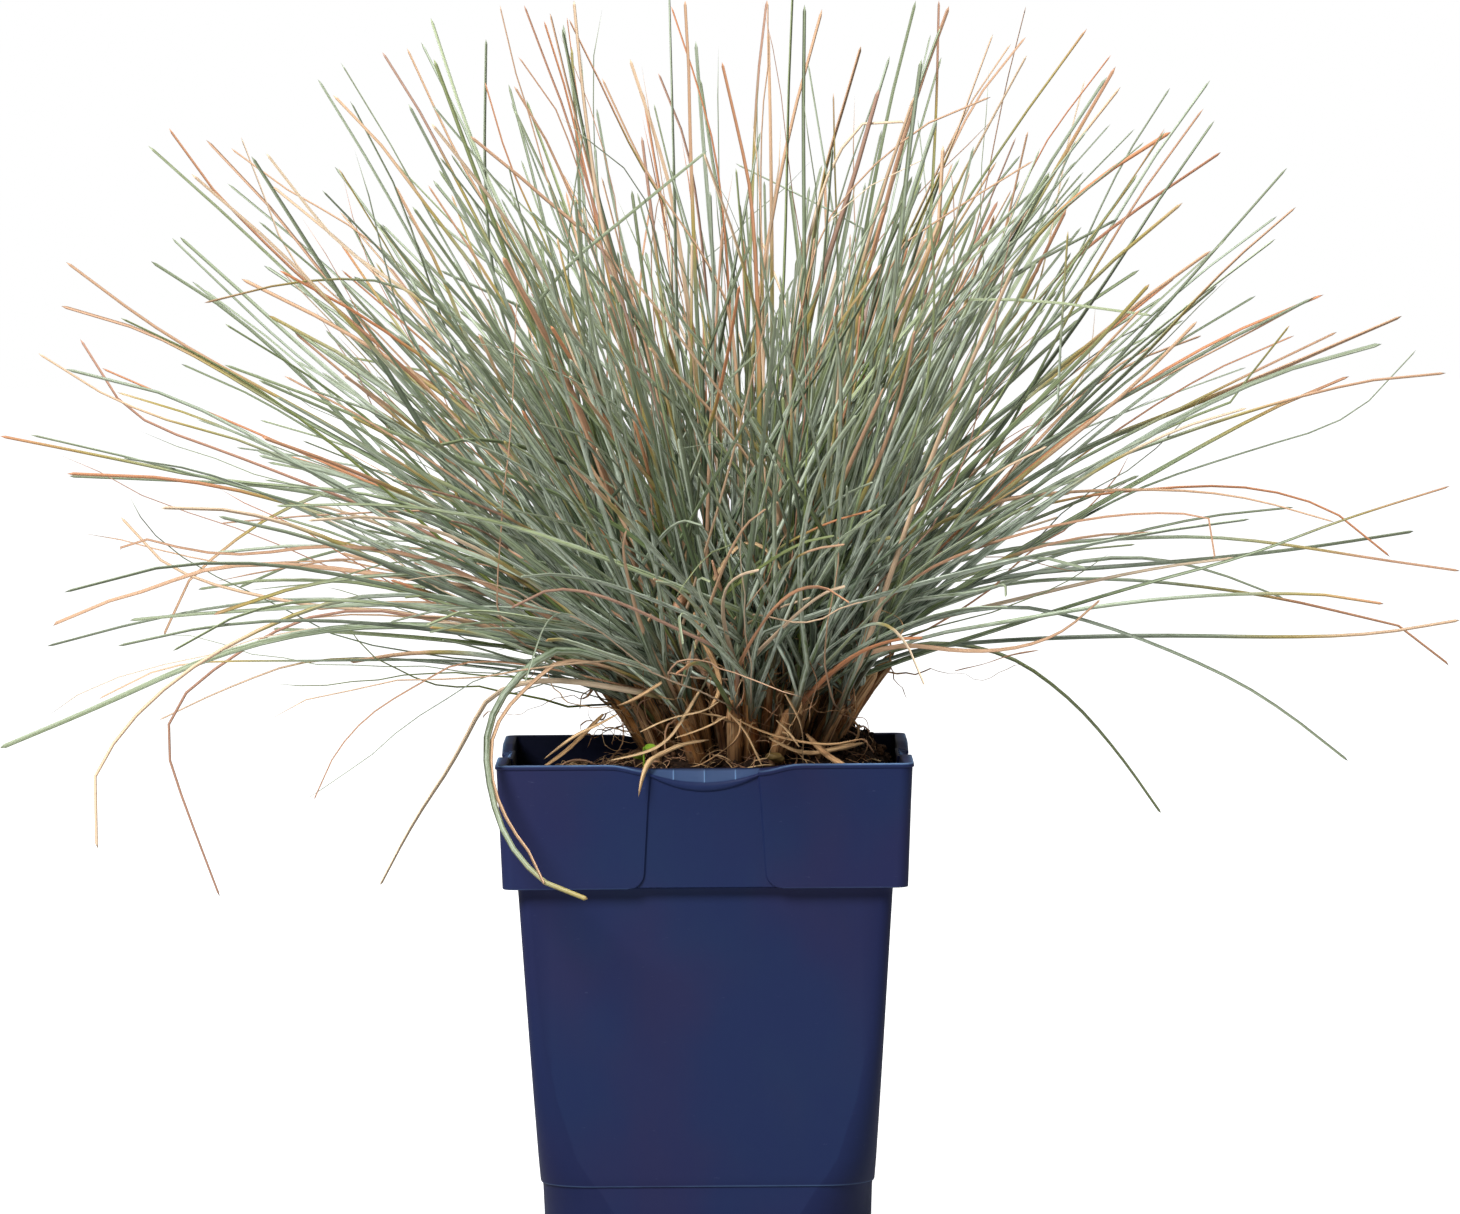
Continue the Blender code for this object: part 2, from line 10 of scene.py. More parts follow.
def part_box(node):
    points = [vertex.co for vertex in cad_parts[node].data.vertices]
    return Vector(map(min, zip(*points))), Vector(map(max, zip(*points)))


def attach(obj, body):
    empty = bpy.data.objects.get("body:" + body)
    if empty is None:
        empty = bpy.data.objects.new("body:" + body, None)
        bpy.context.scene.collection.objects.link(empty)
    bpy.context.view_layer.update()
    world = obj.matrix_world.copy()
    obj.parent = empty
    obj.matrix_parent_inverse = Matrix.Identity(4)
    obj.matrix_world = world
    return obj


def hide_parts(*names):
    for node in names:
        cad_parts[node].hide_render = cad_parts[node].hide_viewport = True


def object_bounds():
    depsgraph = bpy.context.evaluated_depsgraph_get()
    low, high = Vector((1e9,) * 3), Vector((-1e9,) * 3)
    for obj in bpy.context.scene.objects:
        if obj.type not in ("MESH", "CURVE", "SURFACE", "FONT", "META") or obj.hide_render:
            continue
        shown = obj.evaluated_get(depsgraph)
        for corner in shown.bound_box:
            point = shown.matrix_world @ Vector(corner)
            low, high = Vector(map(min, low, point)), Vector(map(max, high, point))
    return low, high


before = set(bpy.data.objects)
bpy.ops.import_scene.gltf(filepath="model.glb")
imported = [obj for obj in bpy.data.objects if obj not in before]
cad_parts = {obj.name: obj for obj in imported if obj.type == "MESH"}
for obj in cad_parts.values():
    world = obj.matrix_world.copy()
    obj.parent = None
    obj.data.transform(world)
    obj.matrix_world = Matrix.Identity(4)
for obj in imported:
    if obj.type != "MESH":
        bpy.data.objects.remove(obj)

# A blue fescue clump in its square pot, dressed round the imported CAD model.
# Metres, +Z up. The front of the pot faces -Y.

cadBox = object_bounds()
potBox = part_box("pot")
potHeight = potBox[1].z
rimHalf = potBox[1].x
mm = 0.001


# Shader wires

def rgb(red, green, blue):  # a display colour, 0 to 255, as linear light
    linear = []
    for value in (red, green, blue):
        value /= 255
        linear.append(value / 12.92 if value < 0.04045 else ((value + 0.055) / 1.055) ** 2.4)
    return (*linear, 1.0)


def grey(value):
    return (value, value, value, 1.0)


class Wire:  # one output socket; sums and products of wires add their Math nodes
    def __init__(self, tree, socket=None):
        self.tree = tree
        self.socket = socket

    def node(self, kind, settings, inputs, out=0):
        made = self.tree.nodes.new(kind)
        for name, value in settings.items():
            if name == "stops":
                self.setStops(made.color_ramp, value)
            else:
                setattr(made, name, value)
        for name, value in inputs.items():
            if isinstance(value, Wire):
                self.tree.links.new(value.socket, made.inputs[name])
            else:
                made.inputs[name].default_value = value
        return Wire(self.tree, made.outputs[out])

    def setStops(self, ramp, stops):
        while len(ramp.elements) < len(stops):
            ramp.elements.new(0.5)
        for element, (place, colour) in zip(ramp.elements, stops):
            element.position = place
            element.color = colour

    def maths(self, operation, first, second=0.0):
        return self.node("ShaderNodeMath", {"operation": operation}, {0: first, 1: second})

    def __add__(self, other):
        return self.maths("ADD", self, other)

    def __radd__(self, other):
        return self.maths("ADD", other, self)

    def __sub__(self, other):
        return self.maths("SUBTRACT", self, other)

    def __rsub__(self, other):
        return self.maths("SUBTRACT", other, self)

    def __mul__(self, other):
        return self.maths("MULTIPLY", self, other)

    def __rmul__(self, other):
        return self.maths("MULTIPLY", other, self)

    def __pow__(self, other):
        return self.maths("POWER", self, other)

    def __abs__(self):
        return self.maths("ABSOLUTE", self)

    def rise(self, low, high):  # 0 below low, 1 above high, smooth between
        return self.node(
            "ShaderNodeMapRange", {"interpolation_type": "SMOOTHSTEP"},
            {"Value": self, "From Min": low, "From Max": high},
        )

    def blend(self, first, second):  # two colours, mixed by this wire
        return self.node("ShaderNodeMix", {"data_type": "RGBA"}, {0: self, 6: first, 7: second}, 2)

    def ramp(self, *stops):
        return self.node("ShaderNodeValToRGB", {"stops": stops}, {"Fac": self})

    def mark(self, name):  # an attribute of the mesh
        return self.node("ShaderNodeAttribute", {"attribute_name": name}, {}, "Fac")

    def place(self, *scale):  # object coordinates, stretched
        here = self.node("ShaderNodeTexCoord", {}, {}, "Object")
        return self.node("ShaderNodeMapping", {}, {"Vector": here, "Scale": scale})

    def vector(self, x, y, z):
        return self.node("ShaderNodeCombineXYZ", {}, {"X": x, "Y": y, "Z": z})

    def noise(self, where, scale, detail=2.0, roughness=0.5):
        inputs = {"Vector": where, "Scale": scale, "Detail": detail, "Roughness": roughness}
        return self.node("ShaderNodeTexNoise", {}, inputs, "Fac")

    def bump(self, height, distance, strength=1.0):
        inputs = {"Height": height, "Distance": distance, "Strength": strength}
        return self.node("ShaderNodeBump", {}, inputs, "Normal")


def newFinish(name, **constants):
    finish = bpy.data.materials.new(name)
    finish.use_nodes = True
    shader = finish.node_tree.nodes["Principled BSDF"]
    for socket, value in constants.items():
        shader.inputs[socket.replace("_", " ")].default_value = value
    return finish, Wire(finish.node_tree), shader


def feed(shader, **wires):
    for socket, wire in wires.items():
        wire.tree.links.new(wire.socket, shader.inputs[socket.replace("_", " ")])


# Camera and light

view = {
    "place": (5.7 * mm, -1755 * mm, 235.3 * mm),
    "pitchDown": math.radians(3.33),
    "roll": math.radians(-0.39),
    "lens": 197.4,
    "sensor": 36.0,
    "imageWidth": 1460,
    "imageHeight": 1214,
}


def addCamera():
    data = bpy.data.cameras.new("camera")
    data.lens = view["lens"]
    data.sensor_width = view["sensor"]
    data.sensor_fit = "HORIZONTAL"
    data.clip_end = 30
    camera = bpy.data.objects.new("camera", data)
    camera.location = view["place"]
    tilt = Matrix.Rotation(math.pi / 2 - view["pitchDown"], 4, "X")
    camera.rotation_euler = (tilt @ Matrix.Rotation(view["roll"], 4, "Z")).to_euler()
    bpy.context.scene.collection.objects.link(camera)
    bpy.context.scene.camera = camera


def spotAt(column, row, depth):
    # the point at that depth (its y) which shows at a column and row of the image
    focal = view["lens"] / view["sensor"] * view["imageWidth"]
    across = (column - view["imageWidth"] / 2) / focal
    above = (view["imageHeight"] / 2 - row) / focal
    c, s = math.cos(view["roll"]), math.sin(view["roll"])
    across, above = across * c - above * s, across * s + above * c
    c, s = math.cos(view["pitchDown"]), math.sin(view["pitchDown"])
    ray = Vector((across, c + s * above, c * above - s))
    start = Vector(view["place"])
    return start + ray * ((depth - start.y) / ray.y)


light = {
    "backdrop": 1.0,    # how bright the white surround looks
    "sky": 0.19,        # and how much of it falls on the plant
    "floorTone": 0.45,
    "keyPower": 57.0,
    "keyPlace": (-0.75, -1.25, 1.25),
    "keySize": 0.7,
    "topPower": 14.0,
    "topPlace": (0.35, -0.10, 1.40),
    "topSize": 0.6,
}


def addLamp(name, place, size, power):
    data = bpy.data.lights.new(name, "AREA")
    data.shape = "DISK"
    data.size = size
    data.energy = power
    lamp = bpy.data.objects.new(name, data)
    lamp.location = place
    aim = Vector((0, 0, 0.15)) - Vector(place)
    lamp.rotation_euler = aim.to_track_quat("-Z", "Y").to_euler()
    bpy.context.scene.collection.objects.link(lamp)


def addStudio():
    world = bpy.data.worlds.new("studio")
    world.use_nodes = True
    sky = world.node_tree.nodes["Background"]
    wire = Wire(world.node_tree)
    seen = wire.node("ShaderNodeLightPath", {}, {}, "Is Camera Ray")
    glow = seen.blend(grey(light["sky"]), grey(light["backdrop"]))
    world.node_tree.links.new(glow.socket, sky.inputs["Color"])
    bpy.context.scene.world = world
    bpy.context.scene.view_settings.view_transform = "Standard"
    addLamp("key light", light["keyPlace"], light["keySize"], light["keyPower"])
    addLamp("top light", light["topPlace"], light["topSize"], light["topPower"])
    bpy.ops.mesh.primitive_plane_add(size=12)
    floor = bpy.context.object
    floor.name = "floor"
    finish, wire, shader = newFinish(
        "pale floor", Base_Color=grey(light["floorTone"]), Roughness=0.9, Emission_Strength=1.0)
    seen = wire.node("ShaderNodeLightPath", {}, {}, "Is Camera Ray")
    feed(shader, Emission_Color=seen.blend(grey(0.0), grey(light["backdrop"])))
    floor.data.materials.append(finish)


# Finishes

def plasticFinish():
    finish, wire, shader = newFinish("blue plastic", Specular_IOR_Level=0.12)
    worn, inside, turned = wire.mark("worn"), wire.mark("inside"), wire.mark("turned")
    drawn = wire.noise(wire.place(900, 900, 22), 1.0, 3.0)
    cloud = wire.noise(wire.place(60, 60, 40), 1.0, 3.0)
    scuffs = wire.noise(wire.place(420, 420, 1400), 1.0, 4.0, 0.7).rise(0.66, 0.80)
    tone = drawn * 0.2 + cloud * 0.8
    hue = wire.noise(wire.place(30, 30, 22), 1.0, 2.0).rise(0.38, 0.62)
    blue = hue.blend(rgb(31, 34, 67), rgb(24, 37, 70))
    blue = (tone.rise(0.35, 0.65) * 0.35).blend(blue, rgb(22, 30, 70))
    # painted shade: the body's rounded corners are darker, where they turn away from the light
    blue = (turned * 0.5).blend(blue, rgb(18, 25, 60))
    blue = (scuffs * 0.25).blend(blue, rgb(86, 92, 122))
    # painted shade: the inner walls are darkened, as shade falls inside the pot
    blue = (inside * 0.85).blend(blue, rgb(13, 16, 32))
    # painted highlight: a pale blue line on the lip, the ribs in the dip and the foot and collar edges,
    # where light catches them
    blue = (worn * (0.5 + 0.5 * cloud.rise(0.35, 0.6))).blend(blue, rgb(108, 140, 180))
    feed(
        shader, Base_Color=blue, Roughness=0.42 + 0.12 * tone + 0.1 * scuffs,
        Normal=wire.bump(drawn, 0.01 * mm, 0.4),
    )
    return finish


def leafFinish():
    finish, wire, shader = newFinish("glaucous leaf", Specular_IOR_Level=0.5)
    along, across = wire.mark("along"), wire.mark("across")
    tint, bloom = wire.mark("tint"), wire.mark("bloom")
    dryFrom, groove = wire.mark("dryFrom"), wire.mark("groove")
    line = wire.vector(across * 1.6, along * 5.0, tint * 71.0)
    veins = wire.noise(wire.vector(across * 5.0, along * 3.0, tint * 37.0), 1.0, 2.0)
    patches = wire.noise(line, 1.5, 2.0, 0.6)
    mottle = wire.noise(wire.vector(across * 3.0, along * 60.0, tint * 53.0), 1.0, 1.0, 0.7)
    green = tint.ramp(
        (0.0, rgb(62, 82, 50)), (0.45, rgb(76, 98, 56)), (0.75, rgb(104, 126, 50)), (1.0, rgb(150, 164, 54)),
    )
    deep = tint.ramp((0.0, rgb(30, 42, 29)), (1.0, rgb(50, 62, 28)))
    waxy = (veins * 0.55 + patches * 0.45 + mottle * 0.25).rise(0.46, 0.76)
    waxy = waxy * bloom * (1.0 - along.rise(0.45, 1.0) * 0.5) * (1.0 - groove * 0.5)
    fresh = veins.rise(0.35, 0.65).blend(deep, green)
    fresh = (along.rise(0.3, 1.0) * 0.5).blend(fresh, rgb(146, 154, 122))
    fresh = waxy.blend(fresh, rgb(196, 207, 190))
    straw = tint.ramp(
        (0.0, rgb(216, 196, 168)), (0.35, rgb(200, 164, 130)), (0.65, rgb(178, 142, 114)),
        (0.88, rgb(190, 124, 80)), (1.0, rgb(160, 136, 124)),
    )
    straw = (veins.rise(0.4, 0.7) * 0.45).blend(straw, rgb(132, 96, 66))
    edge = along + (patches - 0.5) * 0.16 - dryFrom
    yellowing = edge.rise(-0.16, 0.0)
    withered = edge.rise(-0.03, 0.07)
    colour = yellowing.blend(fresh, rgb(150, 134, 70))
    colour = withered.blend(colour, straw)
    root = 1.0 - along.rise(0.02, 0.12)
    colour = (root * 0.7).blend(colour, rgb(118, 96, 62))
    ridges = wire.noise(wire.vector(across * 9.0, along * 1.5, tint * 11.0), 1.0, 1.0)
    feed(
        shader, Base_Color=colour, Roughness=0.46 + 0.2 * withered + 0.1 * waxy,
        Normal=wire.bump(ridges + mottle * 0.2, 0.08 * mm, 0.8),
    )
    return finish


def sheathFinish():
    finish, wire, shader = newFinish("papery sheath", Specular_IOR_Level=0.25)
    along, across, tint = wire.mark("along"), wire.mark("across"), wire.mark("tint")
    lines = wire.noise(wire.vector(across * 7.0, along * 1.2, tint * 61.0), 1.0, 3.0, 0.6)
    patches = wire.noise(wire.vector(across * 1.5, along * 3.0, tint * 23.0), 1.0, 3.0, 0.6)
    paper = tint.ramp(
        (0.0, rgb(180, 120, 60)), (0.3, rgb(212, 160, 100)), (0.55, rgb(146, 92, 48)),
        (0.8, rgb(212, 168, 120)), (1.0, rgb(110, 70, 38)),
    )
    paper = lines.rise(0.32, 0.62).blend(rgb(74, 44, 22), paper)
    paper = (patches.rise(0.5, 0.75) * 0.55).blend(paper, rgb(216, 182, 138))
    paper = ((1.0 - along.rise(0.0, 0.45)) * 0.65).blend(paper, rgb(46, 30, 20))
    feed(shader, Base_Color=paper, Roughness=0.6 + 0.2 * patches,
         Normal=wire.bump(lines, 0.15 * mm, 0.9))
    return finish


def strawFinish():
    finish, wire, shader = newFinish("dry straw", Specular_IOR_Level=0.3)
    along, across, tint = wire.mark("along"), wire.mark("across"), wire.mark("tint")
    lines = wire.noise(wire.vector(across * 5.0, along * 3.0, tint * 41.0), 1.0, 3.0, 0.6)
    colour = tint.ramp(
        (0.0, rgb(228, 196, 150)), (0.3, rgb(208, 168, 120)), (0.55, rgb(174, 132, 92)),
        (0.8, rgb(196, 152, 124)), (1.0, rgb(136, 98, 68)),
    )
    colour = lines.rise(0.32, 0.62).blend(rgb(138, 100, 66), colour)
    feed(shader, Base_Color=colour, Roughness=0.62 + 0.1 * lines,
         Normal=wire.bump(lines, 0.08 * mm, 0.8))
    return finish


def mixFinish():
    finish, wire, shader = newFinish("potting mix", Specular_IOR_Level=0.15)
    tint = wire.mark("tint")
    grain = wire.noise(wire.place(900, 900, 900), 1.0, 5.0, 0.65)
    clods = wire.noise(wire.place(180, 180, 180), 1.0, 3.0, 0.6)
    peat = grain.ramp((0.25, rgb(18, 12, 9)), (0.5, rgb(40, 27, 19)), (0.75, rgb(72, 50, 34)))
    peat = (clods.rise(0.45, 0.7) * 0.6).blend(peat, rgb(24, 17, 13))
    peat = (tint.rise(0.72, 1.0) * 0.7).blend(peat, rgb(96, 68, 46))
    feed(shader, Base_Color=peat, Roughness=0.82 + 0.14 * grain,
         Normal=wire.bump(grain + clods * 0.6, 0.4 * mm, 1.0))
    return finish


def seedlingFinish():
    finish, wire, shader = newFinish("seedling leaf", Specular_IOR_Level=0.4)
    spots = wire.noise(wire.place(700, 700, 700), 1.0, 3.0)
    green = spots.ramp((0.3, rgb(88, 122, 26)), (0.7, rgb(132, 164, 52)))
    feed(shader, Base_Color=green, Roughness=0.42 + 0.1 * spots)
    return finish


def pebbleFinish():
    finish, wire, shader = newFinish("pebble", Specular_IOR_Level=0.4)
    spots = wire.noise(wire.place(500, 500, 500), 1.0, 4.0, 0.6)
    stone = spots.ramp((0.3, rgb(84, 66, 34)), (0.6, rgb(134, 110, 62)), (0.8, rgb(176, 152, 96)))
    feed(shader, Base_Color=stone, Roughness=0.45 + 0.2 * spots)
    return finish


# Making meshes

def deselectAll():
    for chosen in list(bpy.context.selected_objects):
        chosen.select_set(False)


def ease(value):  # 0 to 1, smooth at both ends
    value = np.clip(value, 0.0, 1.0)
    return value * value * (3 - 2 * value)


def settle(piece, finish, slot, *nodes, smoothAngle=None):
    # gives a finished piece its material, its body and the CAD nodes it stands for
    piece.data.materials.clear()
    piece.data.materials.append(finish)
    if smoothAngle is not None:
        deselectAll()
        piece.select_set(True)
        bpy.context.view_layer.objects.active = piece
        bpy.ops.object.shade_smooth_by_angle(angle=math.radians(smoothAngle))
    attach(piece, "root")
    if nodes:
        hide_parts(*nodes)
    return piece


foldedSection = ((-0.50, 0.24), (-0.38, -0.20), (0.0, -0.38), (0.38, -0.20), (0.50, 0.24), (0.0, -0.02))
flatSection = ((-0.50, 0.10), (0.0, -0.12), (0.50, 0.10), (0.0, 0.04))
roundSection = tuple(
    (0.5 * math.cos(k * math.pi / 4), 0.5 * math.sin(k * math.pi / 4)) for k in range(8)
)
hairSection = tuple(
    (0.5 * math.cos(k * math.pi * 2 / 3), 0.5 * math.sin(k * math.pi * 2 / 3)) for k in range(3)
)


def strandMesh(name, paths, widths, facings, twists, section, marks):
    # Joins one closed, pointed strip along each path into one mesh.
    count, steps, _ = paths.shape
    sides = len(section)
    ahead = np.gradient(paths, axis=1)
    ahead /= np.linalg.norm(ahead, axis=2, keepdims=True)
    rings = np.zeros((count, steps, sides, 3))
    facing = facings
    for i in range(steps):
        lead = ahead[:, i]
        facing = facing - lead * np.sum(facing * lead, axis=1, keepdims=True)
        facing = facing / np.linalg.norm(facing, axis=1, keepdims=True)
        side = np.cross(facing, lead)
        c, s = np.cos(twists[:, i, None]), np.sin(twists[:, i, None])
        wide, thick = side * c + facing * s, facing * c - side * s
        for k, (u, v) in enumerate(section):
            rings[:, i, k] = paths[:, i] + (wide * u + thick * v) * widths[:, i, None]
    body = rings[:, :-1].reshape(count, -1, 3)
    vertices = np.concatenate([body, paths[:, -1:]], axis=1).reshape(-1, 3)

    last = (steps - 1) * sides
    strip, uv = [], []
    for r in range(steps - 1):
        for k in range(sides):
            near, far = r / (steps - 1), (r + 1) / (steps - 1)
            low, high = k / sides, (k + 1) / sides
            a, b = r * sides + k, r * sides + (k + 1) % sides
            if r < steps - 2:
                strip.append((a, b, b + sides, a + sides))
                uv += [(near, low), (near, high), (far, high), (far, low)]
            else:
                strip.append((a, b, last))
                uv += [(near, low), (near, high), (far, (low + high) / 2)]
    strip.append(tuple(reversed(range(sides))))
    uv += [(0.0, 0.5)] * sides
    stride = last + 1
    faces = [tuple(v + i * stride for v in face) for i in range(count) for face in strip]
    mesh = bpy.data.meshes.new(name)
    mesh.from_pydata(vertices.tolist(), [], faces)

    uv = np.tile(np.array(uv), (count, 1, 1))
    uv[:, :, 1] = (uv[:, :, 1] * 0.96 + np.arange(count)[:, None]) / count
    layer = mesh.uv_layers.new(name="OFBake")
    layer.data.foreach_set("uv", uv.reshape(-1).astype(np.float32))

    along = np.append(np.repeat(np.arange(steps - 1) / (steps - 1), sides), 1.0)
    across = np.append(np.tile([u * 2 for u, _ in section], steps - 1), 0.0)
    hollow = np.append(np.tile([0.0] * (sides - 1) + [1.0], steps - 1), 0.5)
    values = {"along": np.tile(along, count), "across": np.tile(across, count)}
    values["groove"] = np.tile(hollow, count)
    for mark, value in marks.items():
        values[mark] = np.repeat(value, stride)
    for mark, value in values.items():
        layer = mesh.attributes.new(mark, "FLOAT", "POINT")
        layer.data.foreach_set("value", value.astype(np.float32))
    mesh.shade_smooth()
    piece = bpy.data.objects.new(name, mesh)
    bpy.context.scene.collection.objects.link(piece)
    return piece


def leanTo(lean, azimuth):  # unit vectors that lean from upright, both in radians
    side = np.sin(lean)
    return np.stack([side * np.cos(azimuth), side * np.sin(azimuth), np.cos(lean)], axis=-1)


def walk(starts, leans, azimuths, lengths):
    # Paths from their starts, with the lean and azimuth given at each step.
    steps = leans.shape[1]
    moves = leanTo(leans, azimuths)[:, :-1] * lengths[:, None, None] / (steps - 1)
    return np.concatenate([starts[:, None], starts[:, None] + np.cumsum(moves, axis=1)], axis=1)


def roundedRoute(points, steps):
    # A smooth curve through hand-set points, cut corner by corner, then spaced evenly.
    line = np.array([tuple(p) for p in points], dtype=float)
    for _ in range(3):
        if len(line) < 3:
            break
        cut = np.empty((2 * len(line), 3))
        cut[0], cut[-1] = line[0], line[-1]
        cut[1:-1:2] = 0.75 * line[:-1] + 0.25 * line[1:]
        cut[2::2] = 0.25 * line[:-1] + 0.75 * line[1:]
        line = cut
    reach = np.append(0.0, np.cumsum(np.linalg.norm(np.diff(line, axis=0), axis=1)))
    even = np.linspace(0, reach[-1], steps)
    return np.stack([np.interp(even, reach, line[:, i]) for i in range(3)], axis=1)


def heightOf(node):  # a function that gives the height of a CAD node's top
    tree = BVHTree.FromObject(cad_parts[node], bpy.context.evaluated_depsgraph_get())

    def height(x, y):
        hit = tree.ray_cast(Vector((x, y, 1.0)), Vector((0, 0, -1)))[0]
        return hit.z if hit else 0.0

    return height


# The pot

pot = {
    "collarFoot": 75.1 * mm,
    "collarFootHalf": 43.6 * mm,
    "bodyTopHalf": 40.4 * mm,
    "footLine": 10.0 * mm,
    "footHalf": 36.3 * mm,
    "baseHalf": 35.6 * mm,
    "wall": 1.2 * mm,
    "floor": 1.6 * mm,
    "panelProud": 0.55 * mm,
    "panelEdge": (11.7 * mm, 13.3 * mm, 16.6 * mm),  # from the middle: at the rim, low down, at the foot
    "panelRound": 3.4 * mm,
    "dipEdge": 20.4 * mm,
    "dipStep": 1.5 * mm,
    "dipTop": 0.98 * mm,     # how far the dip's upper edge lies below the rim
    "crescent": 0.68,        # how much of the bead's depth is lost at its ends
    "ribSpacing": 6.65 * mm,
    "rimRound": 2.7 * mm,
    "drainHole": 8.0 * mm,
    "drainSpread": 21 * mm,
}

# Across the rim, from the outside in: out from the rim's face and down from its top, in
# millimetres, first on the corners and then in the dip.
rimSection = (
    (0.00, 1.30, -0.55, 6.30), (0.00, 1.00, -0.55, 5.85), (0.24, 0.93, -0.25, 5.72),
    (0.34, 0.76, -0.02, 5.42), (0.34, 0.40, 0.10, 4.90), (0.30, 0.12, 0.04, 4.35),
    (0.12, 0.00, -0.18, 3.92), (-0.30, 0.00, -0.42, 3.70), (-0.90, 0.02, -1.10, 2.72),
    (-1.60, 0.02, -1.80, 1.62), (-2.00, 0.05, -2.20, 0.98), (-2.22, 0.22, -2.48, 0.90),
    (-2.28, 0.70, -2.70, 1.20), (-2.30, 3.20, -2.75, 3.20), (-2.30, 7.00, -2.75, 7.00),
)


def cornerRadius(z):  # the body's corners grow rounder towards its foot
    heights = (0.0, 3.0, 9.0, 16.0, 29.0, 41.0, 54.0, 71.0)
    radii = (16.0, 16.0, 12.3, 8.3, 4.9, 3.4, 3.0, 2.7)
    return float(np.interp(z / mm, heights, radii)) * mm


def panelEdgeAt(z):  # half the width of the sunk panel: it flares round a fillet at its foot
    top, low, foot = pot["panelEdge"]
    share = (potHeight - z) / (potHeight - pot["collarFoot"])
    edge = top + (low - top) * share
    rest = max(0.0, 1 - (z - pot["collarFoot"]) / pot["panelRound"])
    return edge + (foot - low) * (1 - math.sqrt(max(0.0, 1 - rest * rest)))


def potStations(edge):  # places along a side, from its middle out to where the corner starts
    fine = [0.0, 0.16, 0.32]
    rib = pot["ribSpacing"] / mm
    fine += [rib - 0.32, rib - 0.16, rib, rib + 0.16, rib + 0.32]
    fine += [1.8, 4.0, 5.2, 8.0, 9.2]
    rest = [-1.1, -0.55, -0.3, -0.1, 0.1, 0.35, 1.0, 2.2, 3.6, 5.4, 7.4, 9.6, 12.0, 16.0, 20.0]
    return sorted(v * mm for v in fine) + [edge + v * mm for v in rest]


def potRing(half, radius, edge):
    # A rounded square as (x, y, along its side, side's turn); along is None on the corners.
    centre = half - radius
    places = potStations(edge)
    squeeze = min(1.0, 0.985 * centre / places[-1])
    places = [p * squeeze for p in places]
    places = [-p for p in reversed(places[1:])] + places
    points = []
    for side in range(4):
        turn = side * math.pi / 2
        spots = [(p, -half, p / squeeze) for p in places]
        for step in range(9):
            angle = (step / 8 - 1) * math.pi / 2
            spots.append((centre + radius * math.cos(angle), -centre + radius * math.sin(angle), None))
        c, s = math.cos(turn), math.sin(turn)
        points += [(x * c - y * s, x * s + y * c, p, (s, -c)) for x, y, p in spots]
    return points


def potLevel(z, half, radius, edge, corner, middle):
    # One level: corner and middle are (out, down) from the nominal skin.
    level = []
    for x, y, along, face in potRing(half, radius, edge):
        share = 0.0 if along is None else 1 - float(ease((abs(along) - edge + 0.35 * mm) / (0.5 * mm)))
        out = corner[0] * (1 - share) + middle[0] * share
        if along is None:
            way = Vector((x, y)).normalized() * out * 1.3
            level.append((x + way.x, y + way.y, z - corner[1]))
            continue
        bend = float(ease((pot["dipEdge"] - abs(along)) / (pot["dipEdge"] - edge)))
        sunk = middle[1]
        if middle[3]:
            sunk = pot["dipTop"] + (sunk - pot["dipTop"]) * (1 - pot["crescent"] * (along / edge) ** 2)
        down = (corner[1] + bend * corner[2]) * (1 - share) + sunk * share
        out += middle[2] * onRib(along) * share
        level.append((x + face[0] * out, y + face[1] * out, z - down))
    return level


def onRib(along):
    near = min(abs(along - rib * pot["ribSpacing"]) for rib in (-1, 0, 1))
    return max(0.0, 1 - near / (0.19 * mm))


def bodyHalf(z):
    share = (z - pot["footLine"]) / (pot["collarFoot"] - pot["footLine"])
    return pot["footHalf"] + (pot["bodyTopHalf"] - pot["footHalf"]) * share


